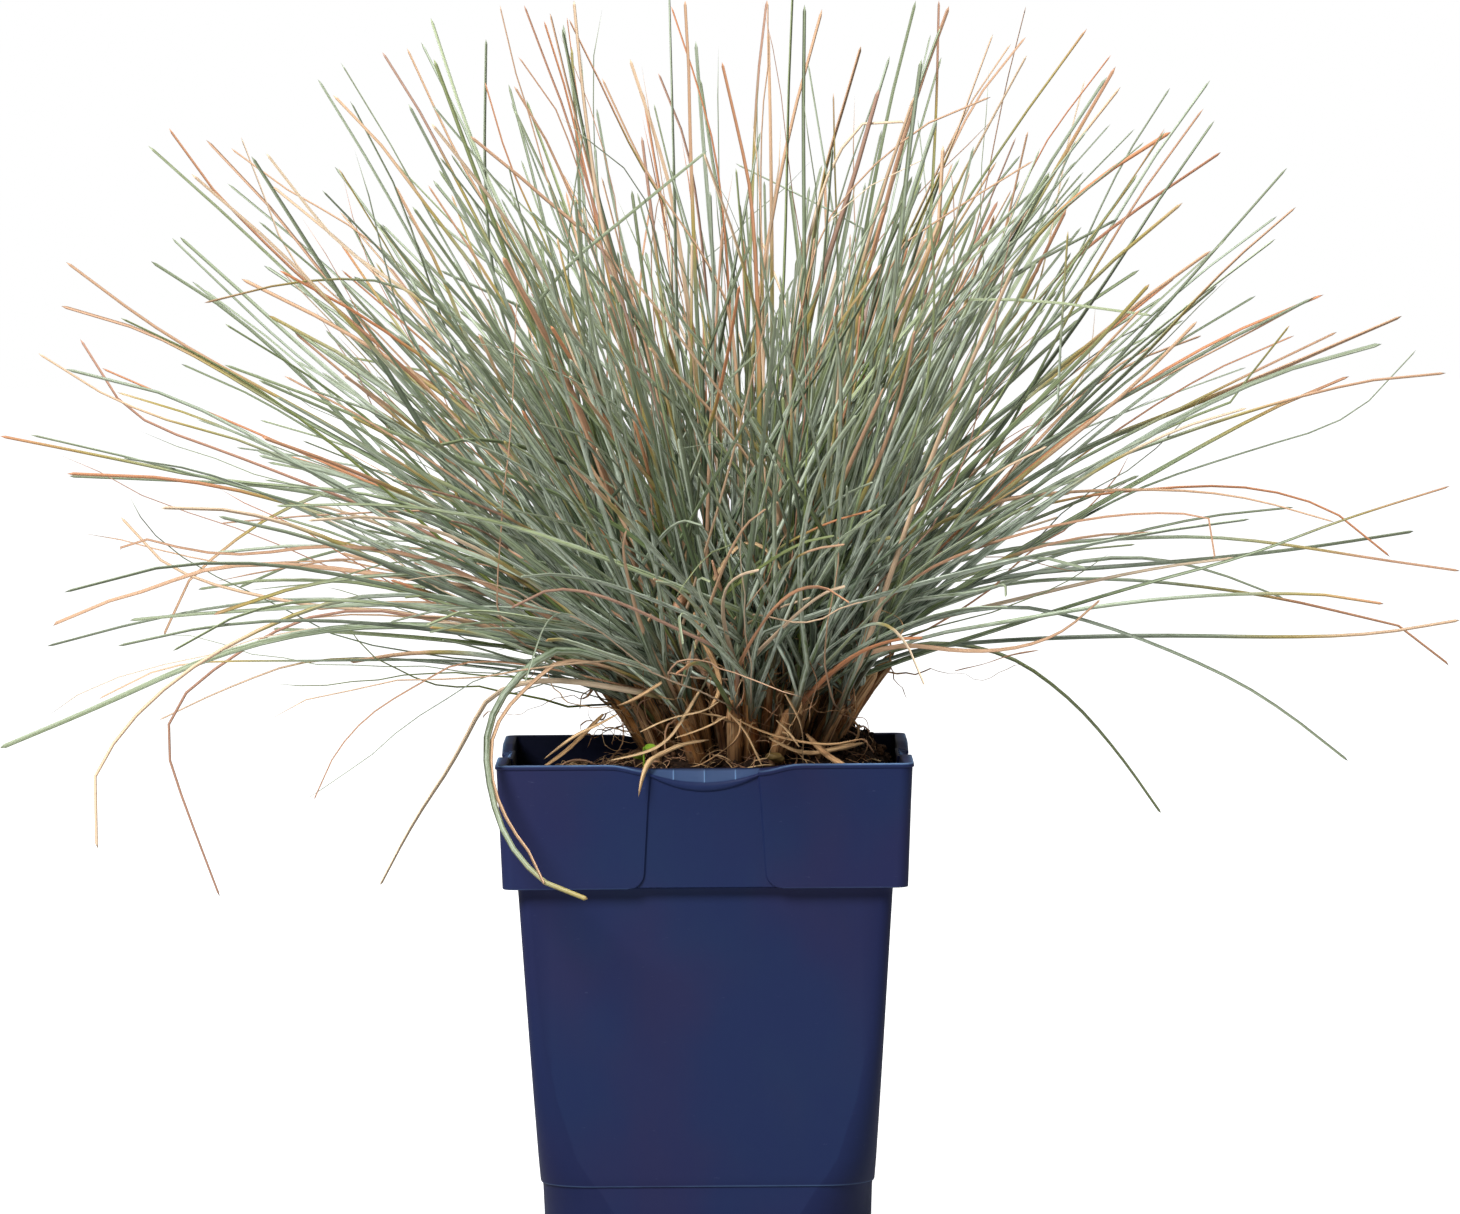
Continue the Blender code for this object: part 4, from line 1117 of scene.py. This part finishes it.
# The blades that stand out at the edge of the clump, as columns and rows of the image, from
# the crown outwards. First the depth of the tip in millimetres, then the width in
# millimetres, and how far along the blade begins to dry (over 1 is never).
edgeBlades = (
    # low on the left
    (-36, 1.9, 1.4, ((500, 630), (376, 624), (287, 635), (198, 661), (96, 708), (0, 748))),
    (-58, 1.5, 0.62, ((500, 600), (367, 592), (287, 616), (198, 661), (134, 715), (102, 760),
                      (86, 800), (98, 849))),
    (12, 1.1, -0.3, ((415, 610), (319, 611), (255, 641), (191, 686), (171, 712), (165, 747),
                     (183, 800), (220, 897))),
    (-20, 1.3, 0.8, ((500, 659), (303, 661), (223, 661), (179, 664), (137, 677), (99, 699))),
    (30, 1.0, 0.7, ((510, 668), (319, 653), (223, 689), (159, 720))),
    (-44, 1.1, -0.3, ((478, 651), (415, 686), (367, 715), (332, 756), (314, 800))),
    (-62, 1.2, 0.1, ((500, 668), (455, 760), (415, 818), (380, 885))),
    (24, 1.2, 0.8, ((405, 479), (335, 488), (271, 515), (223, 549), (191, 578), (172, 600),
                    (164, 637))),
    (-30, 1.1, -0.3, ((450, 560), (335, 543), (255, 555), (207, 554), (143, 539), (104, 525),
                      (121, 551))),
    (-10, 1.3, -0.3, ((500, 590), (383, 575), (287, 563), (207, 567), (150, 590), (96, 605),
                      (61, 609), (53, 626))),
    (18, 1.2, 0.2, ((430, 612), (319, 608), (239, 592), (191, 578), (150, 555), (121, 517))),
    (-48, 1.5, 0.9, ((500, 540), (383, 492), (223, 482), (143, 464), (0, 436))),
    (40, 1.4, 1.4, ((480, 530), (287, 485), (143, 479), (69, 476))),
    (-70, 1.6, 0.97, ((566, 640), (522, 672), (496, 705), (486, 740), (487, 763), (491, 791),
                      (499, 821), (511, 846), (528, 867), (545, 883), (567, 893), (588, 899))),
    (-66, 1.7, 0.2, ((572, 650), (530, 684), (503, 712), (491, 740), (491, 763), (492, 779),
                     (497, 797), (505, 816), (517, 836), (530, 853), (541, 867), (548, 876),
                     (544, 885))),
    # low on the right
    (34, 1.3, 1.4, ((900, 640), (1000, 648), (1067, 694), (1117, 750), (1161, 813))),
    (-46, 1.7, 1.4, ((900, 625), (1000, 604), (1059, 612), (1141, 638), (1235, 679),
                     (1293, 717), (1348, 761))),
    (10, 1.6, 0.78, ((900, 650), (1000, 640), (1147, 635), (1293, 638), (1381, 634),
                     (1460, 620))),
    (-22, 1.5, 0.9, ((900, 660), (1000, 629), (1117, 591), (1249, 556), (1337, 521), (1450, 486))),
    (26, 1.4, 1.4, ((900, 610), (1000, 574), (1147, 565), (1293, 550), (1414, 531))),
    (-50, 1.4, 0.9, ((900, 640), (1000, 623), (1117, 603), (1235, 593), (1337, 594), (1384, 604))),
    (44, 1.2, 0.7, ((900, 610), (1000, 582), (1117, 577), (1264, 594), (1367, 618), (1425, 632),
                    (1449, 666))),
    (-28, 1.2, 0.4, ((900, 540), (1000, 497), (1088, 490), (1176, 489), (1249, 497), (1334, 522))),
    (14, 1.2, 0.5, ((900, 560), (1040, 500), (1176, 486), (1249, 486), (1308, 500), (1346, 518),
                    (1390, 557))),
    (-60, 1.2, -0.3, ((900, 580), (1000, 538), (1103, 515), (1191, 512), (1223, 524),
                      (1226, 535), (1213, 559))),
    (20, 1.2, 0.8, ((900, 580), (1000, 547), (1176, 535), (1264, 541), (1381, 560), (1460, 571))),
    (-52, 1.0, -0.3, ((880, 640), (980, 655), (1055, 640), (1100, 600))),
    # high on the right
    (-30, 1.6, 0.8, ((960, 520), (1079, 418), (1150, 350), (1221, 271), (1296, 207))),
    (20, 1.3, 0.7, ((960, 400), (1061, 268), (1129, 214), (1221, 152))),
    (-12, 1.2, 0.8, ((940, 380), (1036, 229), (1121, 161), (1171, 132))),
    (36, 1.2, 1.4, ((960, 470), (1079, 257), (1118, 168), (1170, 88))),
    (-44, 1.3, 0.6, ((900, 450), (989, 271), (1036, 154), (1079, 96), (1111, 55))),
    (-16, 1.2, 0.8, ((1000, 500), (1204, 396), (1337, 332))),
    (30, 1.2, 0.7, ((1000, 480), (1257, 379), (1364, 332), (1402, 316))),
    (-38, 1.1, 0.75, ((1000, 500), (1221, 418), (1364, 379), (1446, 373))),
    (8, 1.2, 1.4, ((1100, 500), (1250, 450), (1354, 420), (1416, 350))),
    (-20, 1.1, 0.7, ((1040, 440), (1243, 336), (1316, 296))),
    (16, 1.2, 0.85, ((880, 480), (925, 300), (936, 136), (939, 0))),
    # high on the left
    (-24, 1.3, 0.5, ((560, 520), (420, 380), (300, 277), (255, 233), (198, 174), (169, 128))),
    (28, 1.3, 0.5, ((560, 520), (400, 370), (290, 265), (265, 198), (241, 137))),
    (-40, 1.2, 0.8, ((600, 440), (462, 252), (415, 191), (376, 137), (333, 95))),
    (14, 1.2, 0.6, ((600, 420), (497, 223), (462, 166), (427, 92), (407, 48))),
    (-8, 1.1, 0.8, ((580, 420), (418, 105), (382, 52))),
    (-34, 1.3, 0.7, ((520, 540), (340, 430), (191, 351), (128, 309), (66, 262))),
    (34, 1.3, 0.8, ((560, 560), (293, 415), (204, 360), (137, 327), (61, 306))),
    (-18, 1.2, 0.3, ((500, 560), (250, 460), (128, 418), (102, 370), (80, 339))),
    (22, 1.2, 0.4, ((500, 540), (223, 418), (175, 399), (121, 379), (102, 368))),
    (-50, 1.3, 0.8, ((500, 580), (280, 450), (156, 418), (128, 405), (80, 383), (38, 353))),
    (6, 1.2, 1.4, ((560, 520), (380, 420), (287, 348), (223, 287), (172, 238))),
    (-26, 1.3, 0.9, ((560, 460), (480, 330), (399, 282), (335, 277), (261, 287), (204, 303))),
    (18, 1.1, 0.6, ((560, 460), (450, 310), (367, 236), (319, 207), (255, 172), (231, 148))),
    (-46, 1.2, 0.7, ((560, 440), (440, 310), (344, 252), (300, 198), (266, 153))),
    # the top
    (-30, 1.2, 0.5, ((640, 420), (547, 185), (534, 128), (505, 41), (500, 5))),
    (10, 1.3, 0.4, ((640, 360), (566, 112), (543, 57), (524, 5))),
    (-14, 1.1, 0.6, ((630, 340), (559, 102), (518, 57))),
    (-40, 1.3, 0.45, ((640, 400), (600, 220), (583, 96), (574, 0))),
    (20, 1.2, 0.8, ((700, 480), (687, 236), (636, 159), (598, 77), (569, 19))),
    (-6, 1.2, 0.5, ((700, 400), (674, 198), (655, 134), (630, 59))),
    (30, 1.1, 0.6, ((715, 400), (697, 179), (669, 92), (658, 73))),
    (-20, 1.2, 0.7, ((700, 400), (690, 134), (689, 57), (685, 0))),
    (6, 1.2, 0.4, ((735, 400), (722, 172), (693, 70), (671, 6))),
    (-34, 1.2, 0.5, ((762, 420), (754, 204), (741, 143), (722, 62))),
    (16, 1.2, 0.8, ((745, 420), (752, 204), (757, 80), (767, 0))),
    (-10, 1.1, 0.6, ((765, 420), (760, 204), (762, 96), (775, 32), (767, 0))),
    (24, 1.2, 0.8, ((790, 400), (821, 179), (843, 108), (861, 46))),
    (-26, 1.0, -0.3, ((790, 330), (824, 169), (872, 112), (897, 99), (905, 125))),
    # the tall cluster on the right
    (12, 1.0, 0.55, ((860, 300), (884, 210), (905, 131), (939, 29), (949, 6))),
    (-24, 1.1, 0.8, ((890, 280), (929, 200), (958, 131), (976, 78), (993, 34))),
    (20, 1.3, 0.7, ((870, 300), (903, 245), (950, 143), (982, 82), (1011, 44))),
    (-8, 1.4, 0.75, ((890, 300), (948, 151), (986, 84), (1011, 53), (1026, 37))),
    (26, 1.2, 0.6, ((960, 290), (986, 188), (997, 127), (1010, 67), (1026, 6))),
    (-34, 1.3, 0.8, ((920, 290), (948, 200), (995, 114), (1015, 73), (1027, 55))),
    (-40, 0.8, -0.3, ((800, 260), (860, 175), (927, 122), (966, 103), (991, 97))),
    (-30, 0.8, 0.7, ((800, 250), (860, 192), (899, 167), (923, 160))),
    (14, 1.2, 0.7, ((1020, 340), (1044, 271), (1059, 190), (1076, 102), (1085, 80))),
    (-20, 1.0, 0.8, ((980, 320), (1005, 233), (1021, 161), (1028, 131))),
    (-44, 1.2, 1.4, ((900, 360), (975, 290), (1062, 208), (1113, 169), (1144, 142))),
    (-36, 1.1, 0.5, ((880, 260), (935, 222), (982, 192), (1033, 161))),
    # the tall cluster on the left
    (-24, 1.2, -0.3, ((620, 330), (590, 240), (546, 138), (527, 107), (514, 86))),
    (18, 1.0, 0.6, ((620, 330), (590, 190), (573, 118), (556, 53), (544, 21))),
    (-12, 1.1, 0.5, ((630, 330), (600, 210), (579, 130), (558, 48), (550, 13))),
    (30, 1.0, 0.7, ((620, 300), (590, 170), (577, 96), (571, 48), (567, 17))),
    (-38, 1.2, 0.45, ((740, 330), (707, 258), (652, 184), (623, 124), (602, 78))),
    (8, 0.9, 1.4, ((710, 330), (685, 230), (669, 166), (654, 104))),
    (-42, 1.0, 1.4, ((520, 330), (560, 270), (615, 226), (653, 195), (707, 151))),
    (-34, 1.1, 1.4, ((580, 400), (566, 268), (571, 210), (579, 162), (585, 124))),
    (24, 0.9, 1.4, ((520, 380), (490, 270), (484, 172), (485, 96), (486, 39))),
    (-16, 1.0, 0.8, ((580, 330), (545, 240), (508, 162), (497, 122), (485, 82))),
    (-40, 1.0, 0.2, ((640, 290), (590, 235), (550, 203), (500, 159), (470, 136))),
)


def routeFrom(points, startDepth, tipDepth, steps):
    # A route in space from columns and rows, its depth changing evenly along it.
    spots = np.array([tuple(spotAt(x, y, 0.0)) for x, y in points])
    reach = np.append(0.0, np.cumsum(np.linalg.norm(np.diff(spots, axis=0), axis=1)))
    depths = startDepth + (tipDepth - startDepth) * reach / reach[-1]
    line = [spotAt(x, y, depth) for (x, y), depth in zip(points, depths)]
    return roundedRoute(line, steps)


def makeEdgeBlades():
    rng = np.random.default_rng(23)
    steps = 22
    crownColumn, crownRow = 745, 708
    paths, widths, dry = [], [], []
    for tipDepth, width, dryFrom, points in edgeBlades:
        pull = max(-46, min(46, (points[0][0] - crownColumn) * 0.3))
        start = (crownColumn + pull, crownRow - abs(pull) * 0.1)
        startDepth = max(-16, min(18, tipDepth * 0.35)) * mm
        paths.append(routeFrom((start,) + points, startDepth, tipDepth * mm, steps))
        widths.append(width * mm)
        dry.append(dryFrom)
    count = len(paths)
    widths = bladeWidths(rng, count, steps, 1.0) * np.array(widths)[:, None]
    facings = np.tile([0.0, -0.3, 1.0], (count, 1))
    s = np.linspace(0, 1, steps)
    twists = rng.normal(0, 0.7, (count, 1)) + rng.normal(0, 1.4, (count, 1)) * s
    marks = {"tint": rng.random(count), "bloom": rng.uniform(0.3, 0.8, count),
             "dryFrom": np.array(dry)}
    paths = bluntTips(np.array(paths))
    return strandMesh("edge_blades", paths, widths, facings, twists, foldedSection, marks)


# Fine and dry strands

fines = {
    "hairs": 240,
    "hairWidth": 0.52 * mm,
    "curls": 300,
    "curlWidth": (0.24 * mm, 0.60 * mm),
    "curlLength": (10 * mm, 44 * mm),
}


def wanderingPaths(rng, starts, leans, azimuths, lengths, steps, bend):
    # Paths whose lean and azimuth wander, as dry and curled strands do.
    count = len(starts)
    s = np.linspace(0, 1, steps)
    def drift():
        return np.cumsum(rng.normal(0, bend, (count, steps)), axis=1) / math.sqrt(steps)
    turn = rng.normal(0, bend * 1.4, (count, 1)) * s
    return walk(starts, leans[:, None] + drift() + turn, azimuths[:, None] + drift() - turn, lengths)


def makeHairs(tillers):
    # Thread-thin blades among the rest, many of them dead.
    rng = np.random.default_rng(41)
    count, steps = fines["hairs"], 14
    owners = rng.integers(0, clump["tillers"], count)
    paths, lean, azimuth = drawBlades(rng, tillers, owners)
    starts = paths[:, 1]
    leans = np.abs(lean * rng.uniform(0.7, 1.05, count))
    paths = wanderingPaths(
        rng, starts, leans, azimuth, rng.uniform(50 * mm, 150 * mm, count), steps, 0.42)
    good = keepsOff(paths)
    paths, count = paths[good], int(good.sum())
    widths = bladeWidths(rng, count, steps, fines["hairWidth"])
    facings = np.tile([0.0, -0.3, 1.0], (count, 1))
    twists = np.zeros((count, steps))
    marks = {"tint": rng.random(count), "bloom": rng.uniform(0.0, 0.6, count),
             "dryFrom": np.where(rng.random(count) < 0.55, -0.3, 1.4)}
    return strandMesh("hair_blades", paths, widths, facings, twists, hairSection, marks)


def makeCurls(tillers):
    # Torn and curled dead leaves round the foot of the clump.
    rng = np.random.default_rng(52)
    count, steps = fines["curls"], 22
    owners = rng.integers(clump["tillers"] // 3, clump["tillers"], count)
    sheath = sheathPaths(tillers, 11)
    starts = sheath[owners, rng.integers(2, 11, count)]
    lean = tillers["lean"][owners] + np.radians(rng.normal(28, 26, count))
    azimuth = tillers["azimuth"][owners] + rng.normal(0, 0.5, count)
    starts = starts + leanTo(np.full(count, 1.3), azimuth) * 1.2 * mm
    lengths = rng.uniform(*fines["curlLength"], count)
    paths = wanderingPaths(rng, starts, lean, azimuth, lengths, steps, 1.5)
    straying = paths[:, :, 0].max(axis=1) > 36 * mm
    good = clearOfPot(paths) & ~(straying & (rng.random(count) < 0.85))
    paths, count = paths[good], int(good.sum())
    widths = bladeWidths(rng, count, steps, 1.0) * rng.uniform(*fines["curlWidth"], (count, 1))
    facings = rng.normal(size=(count, 3))
    s = np.linspace(0, 1, steps)
    twists = rng.normal(0, 3.0, (count, 1)) * s
    marks = {"tint": rng.random(count)}
    return strandMesh("dry_curls", paths, widths, facings, twists, flatSection, marks)


def clearOfPot(paths):  # False for a strand that would pass through the mix or the rim
    x, y, z = paths[:, :, 0], paths[:, :, 1], paths[:, :, 2]
    across = np.maximum(np.abs(x), np.abs(y))
    inside = across < 41 * mm
    low = np.where(inside, potHeight - 1 * mm, potHeight + 1 * mm)
    over = across < rimHalf + 3 * mm
    return ~((over & (z < low)).any(axis=1))


# Litter that lies on the mix or hangs over the rim, in millimetres, from part.py.
dryLeaves = {
    "dry_leaf_over_rim": (1.15, 0.05, (
        (1, -27, 106), (-5, -33, 105.5), (-9.5, -39.5, 103.8), (-12, -44.6, 102.9),
        (-13.4, -47.1, 99.6), (-14.2, -47.3, 95.2))),
    "dry_leaf_left": (1.2, 0.3, ((-22, -17, 111), (-27, -20, 106), (-31, -24, 102.6), (-36, -27, 99.6))),
    "dry_leaf_right": (1.2, 0.2, ((14, -30, 106.5), (21, -31, 102.8), (28, -27, 103.6), (35, -18, 104.5))),
    "dry_leaf_front": (1.3, 0.45, ((22, -25, 107), (26, -31, 103), (31, -36, 100.2), (35, -39, 98.9))),
}

# Loose strands about the crown, as columns and rows of the image: depth in millimetres,
# width in millimetres and tint, then the route.
looseStrands = (
    (-29, 0.7, 0.1, ((618, 714), (596, 726), (575, 735), (543, 760))),
    (-33, 0.9, 0.0, ((700, 690), (680, 724), (668, 741), (647, 753), (607, 761))),
    (-34, 0.6, 0.3, ((731, 716), (755, 729), (788, 740), (831, 746), (863, 738))),
    (-36, 0.5, 0.2, ((728, 712), (745, 730), (758, 757), (763, 768))),
    (-33, 0.9, 0.05, ((785, 694), (798, 716), (803, 733), (803, 764))),
    (-35, 0.6, 0.1, ((776, 720), (790, 733), (800, 748))),
    (-34, 0.6, 0.0, ((640, 732), (672, 717), (704, 712), (721, 700))),
    (-35, 0.5, 0.15, ((675, 738), (706, 728), (727, 716))),
    (-36, 0.6, 0.4, ((741, 719), (740, 737), (722, 752), (700, 765), (690, 767))),
    (-34, 0.5, 0.6, ((850, 741), (868, 738), (867, 752), (852, 766))),
    (-20, 0.4, 0.8, ((838, 713), (852, 718), (867, 717), (869, 736))),
    (-30, 1.1, 0.0, ((700, 610), (715, 575), (740, 541), (765, 545), (785, 575), (800, 610))),
    (-28, 0.9, 0.1, ((664, 560), (662, 590), (648, 625), (633, 640))),
    (-33, 2.6, 0.85, ((676, 612), (680, 602), (687, 592), (692, 584))),
    (-32, 1.2, 0.3, ((694, 612), (702, 640), (716, 664), (722, 690), (708, 712))),
    (-34, 1.0, 0.75, ((712, 560), (725, 605), (742, 645), (753, 673))),
    (-32, 0.8, 0.2, ((672, 676), (650, 690), (630, 702), (616, 706))),
    (-30, 0.7, 0.5, ((770, 640), (764, 665), (775, 690), (792, 700))),
    (-28, 0.5, 0.3, ((880, 610), (898, 616), (905, 628), (895, 642))),
    (-26, 0.6, 0.9, ((955, 671), (985, 664), (1010, 655), (1040, 650))),
)


def makeDryLeaves():
    rng = np.random.default_rng(61)
    pieces = []
    for name, (width, tint, points) in dryLeaves.items():
        path = roundedRoute([Vector(p) * mm for p in points], 18)
        pieces.append(looseStrand(rng, name + "_blade", [path], [width], [tint]))
    return pieces


def makeLooseStrands():
    rng = np.random.default_rng(63)
    paths = [routeFrom(points, depth * mm, depth * mm, 18) for depth, _, _, points in looseStrands]
    return looseStrand(
        rng, "loose_strands", paths, [row[1] for row in looseStrands],
        [row[2] for row in looseStrands])


def looseStrand(rng, name, paths, widths, tints):
    count, steps = len(paths), len(paths[0])
    s = np.linspace(0, 1, steps)
    taper = np.sqrt(np.clip(np.minimum(s * 6 + 0.25, (1 - s) * 4), 0.02, 1))
    shaped = np.array(widths)[:, None] * mm * taper * (1 + rng.normal(0, 0.05, (count, steps)))
    facings = np.tile([0.0, -0.6, 1.0], (count, 1))
    twists = rng.normal(0, 1.2, (count, 1)) * s
    marks = {"tint": np.array(tints, dtype=float)}
    return strandMesh(name, np.array(paths), shaped, facings, twists, flatSection, marks)


def makeFibres(height):
    # Roots and chaff on the mix, each laid along its surface.
    rng = np.random.default_rng(71)
    count, steps = mixLook["fibres"], 9
    paths = []
    while len(paths) < count:
        x, y = rng.uniform(-40 * mm, 40 * mm, 2)
        way = rng.uniform(0, 6.28)
        length = rng.lognormal(math.log(7 * mm), 0.5)
        bend = rng.normal(0, 1.3)
        arch = rng.uniform(0.2, 2.2) * mm
        lift = rng.uniform(0.0, 0.9) * mm
        path = []
        for i in range(steps):
            t = i / (steps - 1)
            path.append((x, y, height(x, y) + lift + arch * 4 * t * (1 - t)))
            way += bend / steps
            x += math.cos(way) * length / (steps - 1)
            y += math.sin(way) * length / (steps - 1)
            if max(abs(x), abs(y)) > 41.5 * mm:
                break
        if len(path) == steps:
            paths.append(path)
    widths = rng.lognormal(math.log(0.22 * mm), 0.45, (count, 1)) * np.ones(steps)
    widths[:, -1] *= 0.4
    facings = np.tile([0.0, 0.1, 1.0], (count, 1))
    twists = np.zeros((count, steps))
    marks = {"tint": rng.random(count)}
    return strandMesh("fibres", np.array(paths), widths, facings, twists, hairSection, marks)


# A weed seedling and a pebble at the front of the crown

small = {
    "seedlingLeaves": ((649, 748, 35), (638, 758, 205)),   # column, row and heading of each leaf
    "leafLength": 3.3 * mm,
    "leafWidth": 2.2 * mm,
    "stalk": 0.32 * mm,
    "pebble": (775, 757),
    "pebbleSize": (4.3 * mm, 3.0 * mm, 2.1 * mm),
}


def makeSeedling():
    low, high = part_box("seedling")
    depth = (low.y + high.y) / 2
    foot = Vector(((low.x + high.x) / 2, depth, low.z))
    parts = []
    for column, row, heading in small["seedlingLeaves"]:
        middle = spotAt(column, row, depth)
        turn = math.radians(heading)
        deselectAll()
        bpy.ops.mesh.primitive_uv_sphere_add(segments=28, ring_count=14, radius=0.5)
        leaf = bpy.context.object
        for v in leaf.data.vertices:
            along, across = v.co.x, v.co.y
            narrow = 1 - 0.75 * float(ease(0.15 - along * 1.6))
            cup = 0.30 * along * along + 0.55 * across * across
            crease = -0.05 * math.exp(-(across * 12) ** 2)
            v.co = Vector((
                along * small["leafLength"], across * narrow * small["leafWidth"],
                v.co.z * 0.34 * mm + (cup + crease) * small["leafWidth"],
            ))
        leaf.rotation_euler = (math.radians(24), math.radians(-16), turn)
        leaf.location = middle
        bpy.ops.object.transform_apply(location=True, rotation=True, scale=True)
        parts.append(leaf)
        heel = middle - Vector((math.cos(turn), math.sin(turn), -0.2)) * small["leafLength"] * 0.42
        parts.append(makeStalk(foot, heel))
    deselectAll()
    for part in parts:
        part.select_set(True)
    bpy.context.view_layer.objects.active = parts[0]
    bpy.ops.object.join()
    piece = bpy.context.object
    piece.name = "seedling_leaves"
    return piece


def makeStalk(foot, heel):
    # A thin tube, thicker at its foot, extruded ring by ring up a bowed line.
    deselectAll()
    bpy.ops.mesh.primitive_circle_add(vertices=10, radius=small["stalk"], fill_type="NGON", location=foot)
    stalk = bpy.context.object
    bpy.ops.object.transform_apply(location=True)
    bpy.ops.object.mode_set(mode="EDIT")
    bpy.ops.mesh.select_all(action="SELECT")
    steps = 8
    last = Vector(foot)
    for step in range(1, steps + 1):
        share = step / steps
        bow = Vector((0, 0, 0.5 * mm * math.sin(share * math.pi)))
        spot = Vector(foot).lerp(heel, share) + bow
        bpy.ops.mesh.extrude_region_move(TRANSFORM_OT_translate={"value": spot - last})
        bpy.ops.transform.resize(value=(0.93, 0.93, 0.93))
        last = spot
    bpy.ops.mesh.select_all(action="SELECT")
    bpy.ops.mesh.normals_make_consistent(inside=False)
    bpy.ops.object.mode_set(mode="OBJECT")
    return stalk


def makePebble(height):
    # It lies where the line of sight through its place in the image meets the mix.
    column, row = small["pebble"]
    spots = [spotAt(column, row, -depth * mm) for depth in range(24, 41)]
    spot = min(spots, key=lambda s: abs(height(s.x, s.y) + 0.5 * mm - s.z))
    deselectAll()
    bpy.ops.mesh.primitive_ico_sphere_add(subdivisions=5, radius=0.5)
    piece = bpy.context.object
    piece.name = "pebble"
    rng = np.random.default_rng(5)
    waves = rng.normal(0, 3.2, (14, 3))
    phases = rng.uniform(0, 6.28, 14)
    for v in piece.data.vertices:
        way = v.co.normalized()
        lump = float(np.mean(np.sin(waves @ np.array(way) + phases)))
        v.co = Vector([c * (1 + 0.35 * lump) * size for c, size in zip(v.co, small["pebbleSize"])])
    piece.rotation_euler = (0.1, 0.2, 0.3)
    piece.location = spot
    bpy.ops.object.transform_apply(location=True, rotation=True, scale=True)
    return piece


# Building

addCamera()
addStudio()
print("camera and light set")

mixHeight = heightOf("potting_mix")
settle(makePot(), plasticFinish(), "pot_plastic", "pot", smoothAngle=32)
print("pot made")

mixPaint = mixFinish()
settle(makeMix(mixHeight), mixPaint, "potting_mix", "potting_mix", smoothAngle=60)
settle(makeCrumbs(mixHeight), mixPaint, "potting_mix")
print("potting mix made")

leafPaint = leafFinish()
tillers = growTillers(mixHeight)
settle(makeSheaths(tillers), sheathFinish(), "leaf")
for piece, nodes in zip(makeBlades(tillers), tuftsBySector()):
    settle(piece, leafPaint, "leaf", *nodes)
settle(makeEdgeBlades(), leafPaint, "leaf")
settle(makeHairs(tillers), leafPaint, "leaf")
print("clump made")

strawPaint = strawFinish()
settle(makeCurls(tillers), strawPaint, "dry_leaf")
for piece, node in zip(makeDryLeaves(), dryLeaves):
    settle(piece, strawPaint, "dry_leaf", node)
settle(makeLooseStrands(), strawPaint, "dry_leaf")
settle(makeFibres(mixHeight), strawPaint, "dry_leaf")
settle(makeSeedling(), seedlingFinish(), "seedling_leaf", "seedling", smoothAngle=50)
settle(makePebble(mixHeight), pebbleFinish(), "potting_mix", smoothAngle=60)
print("litter made")
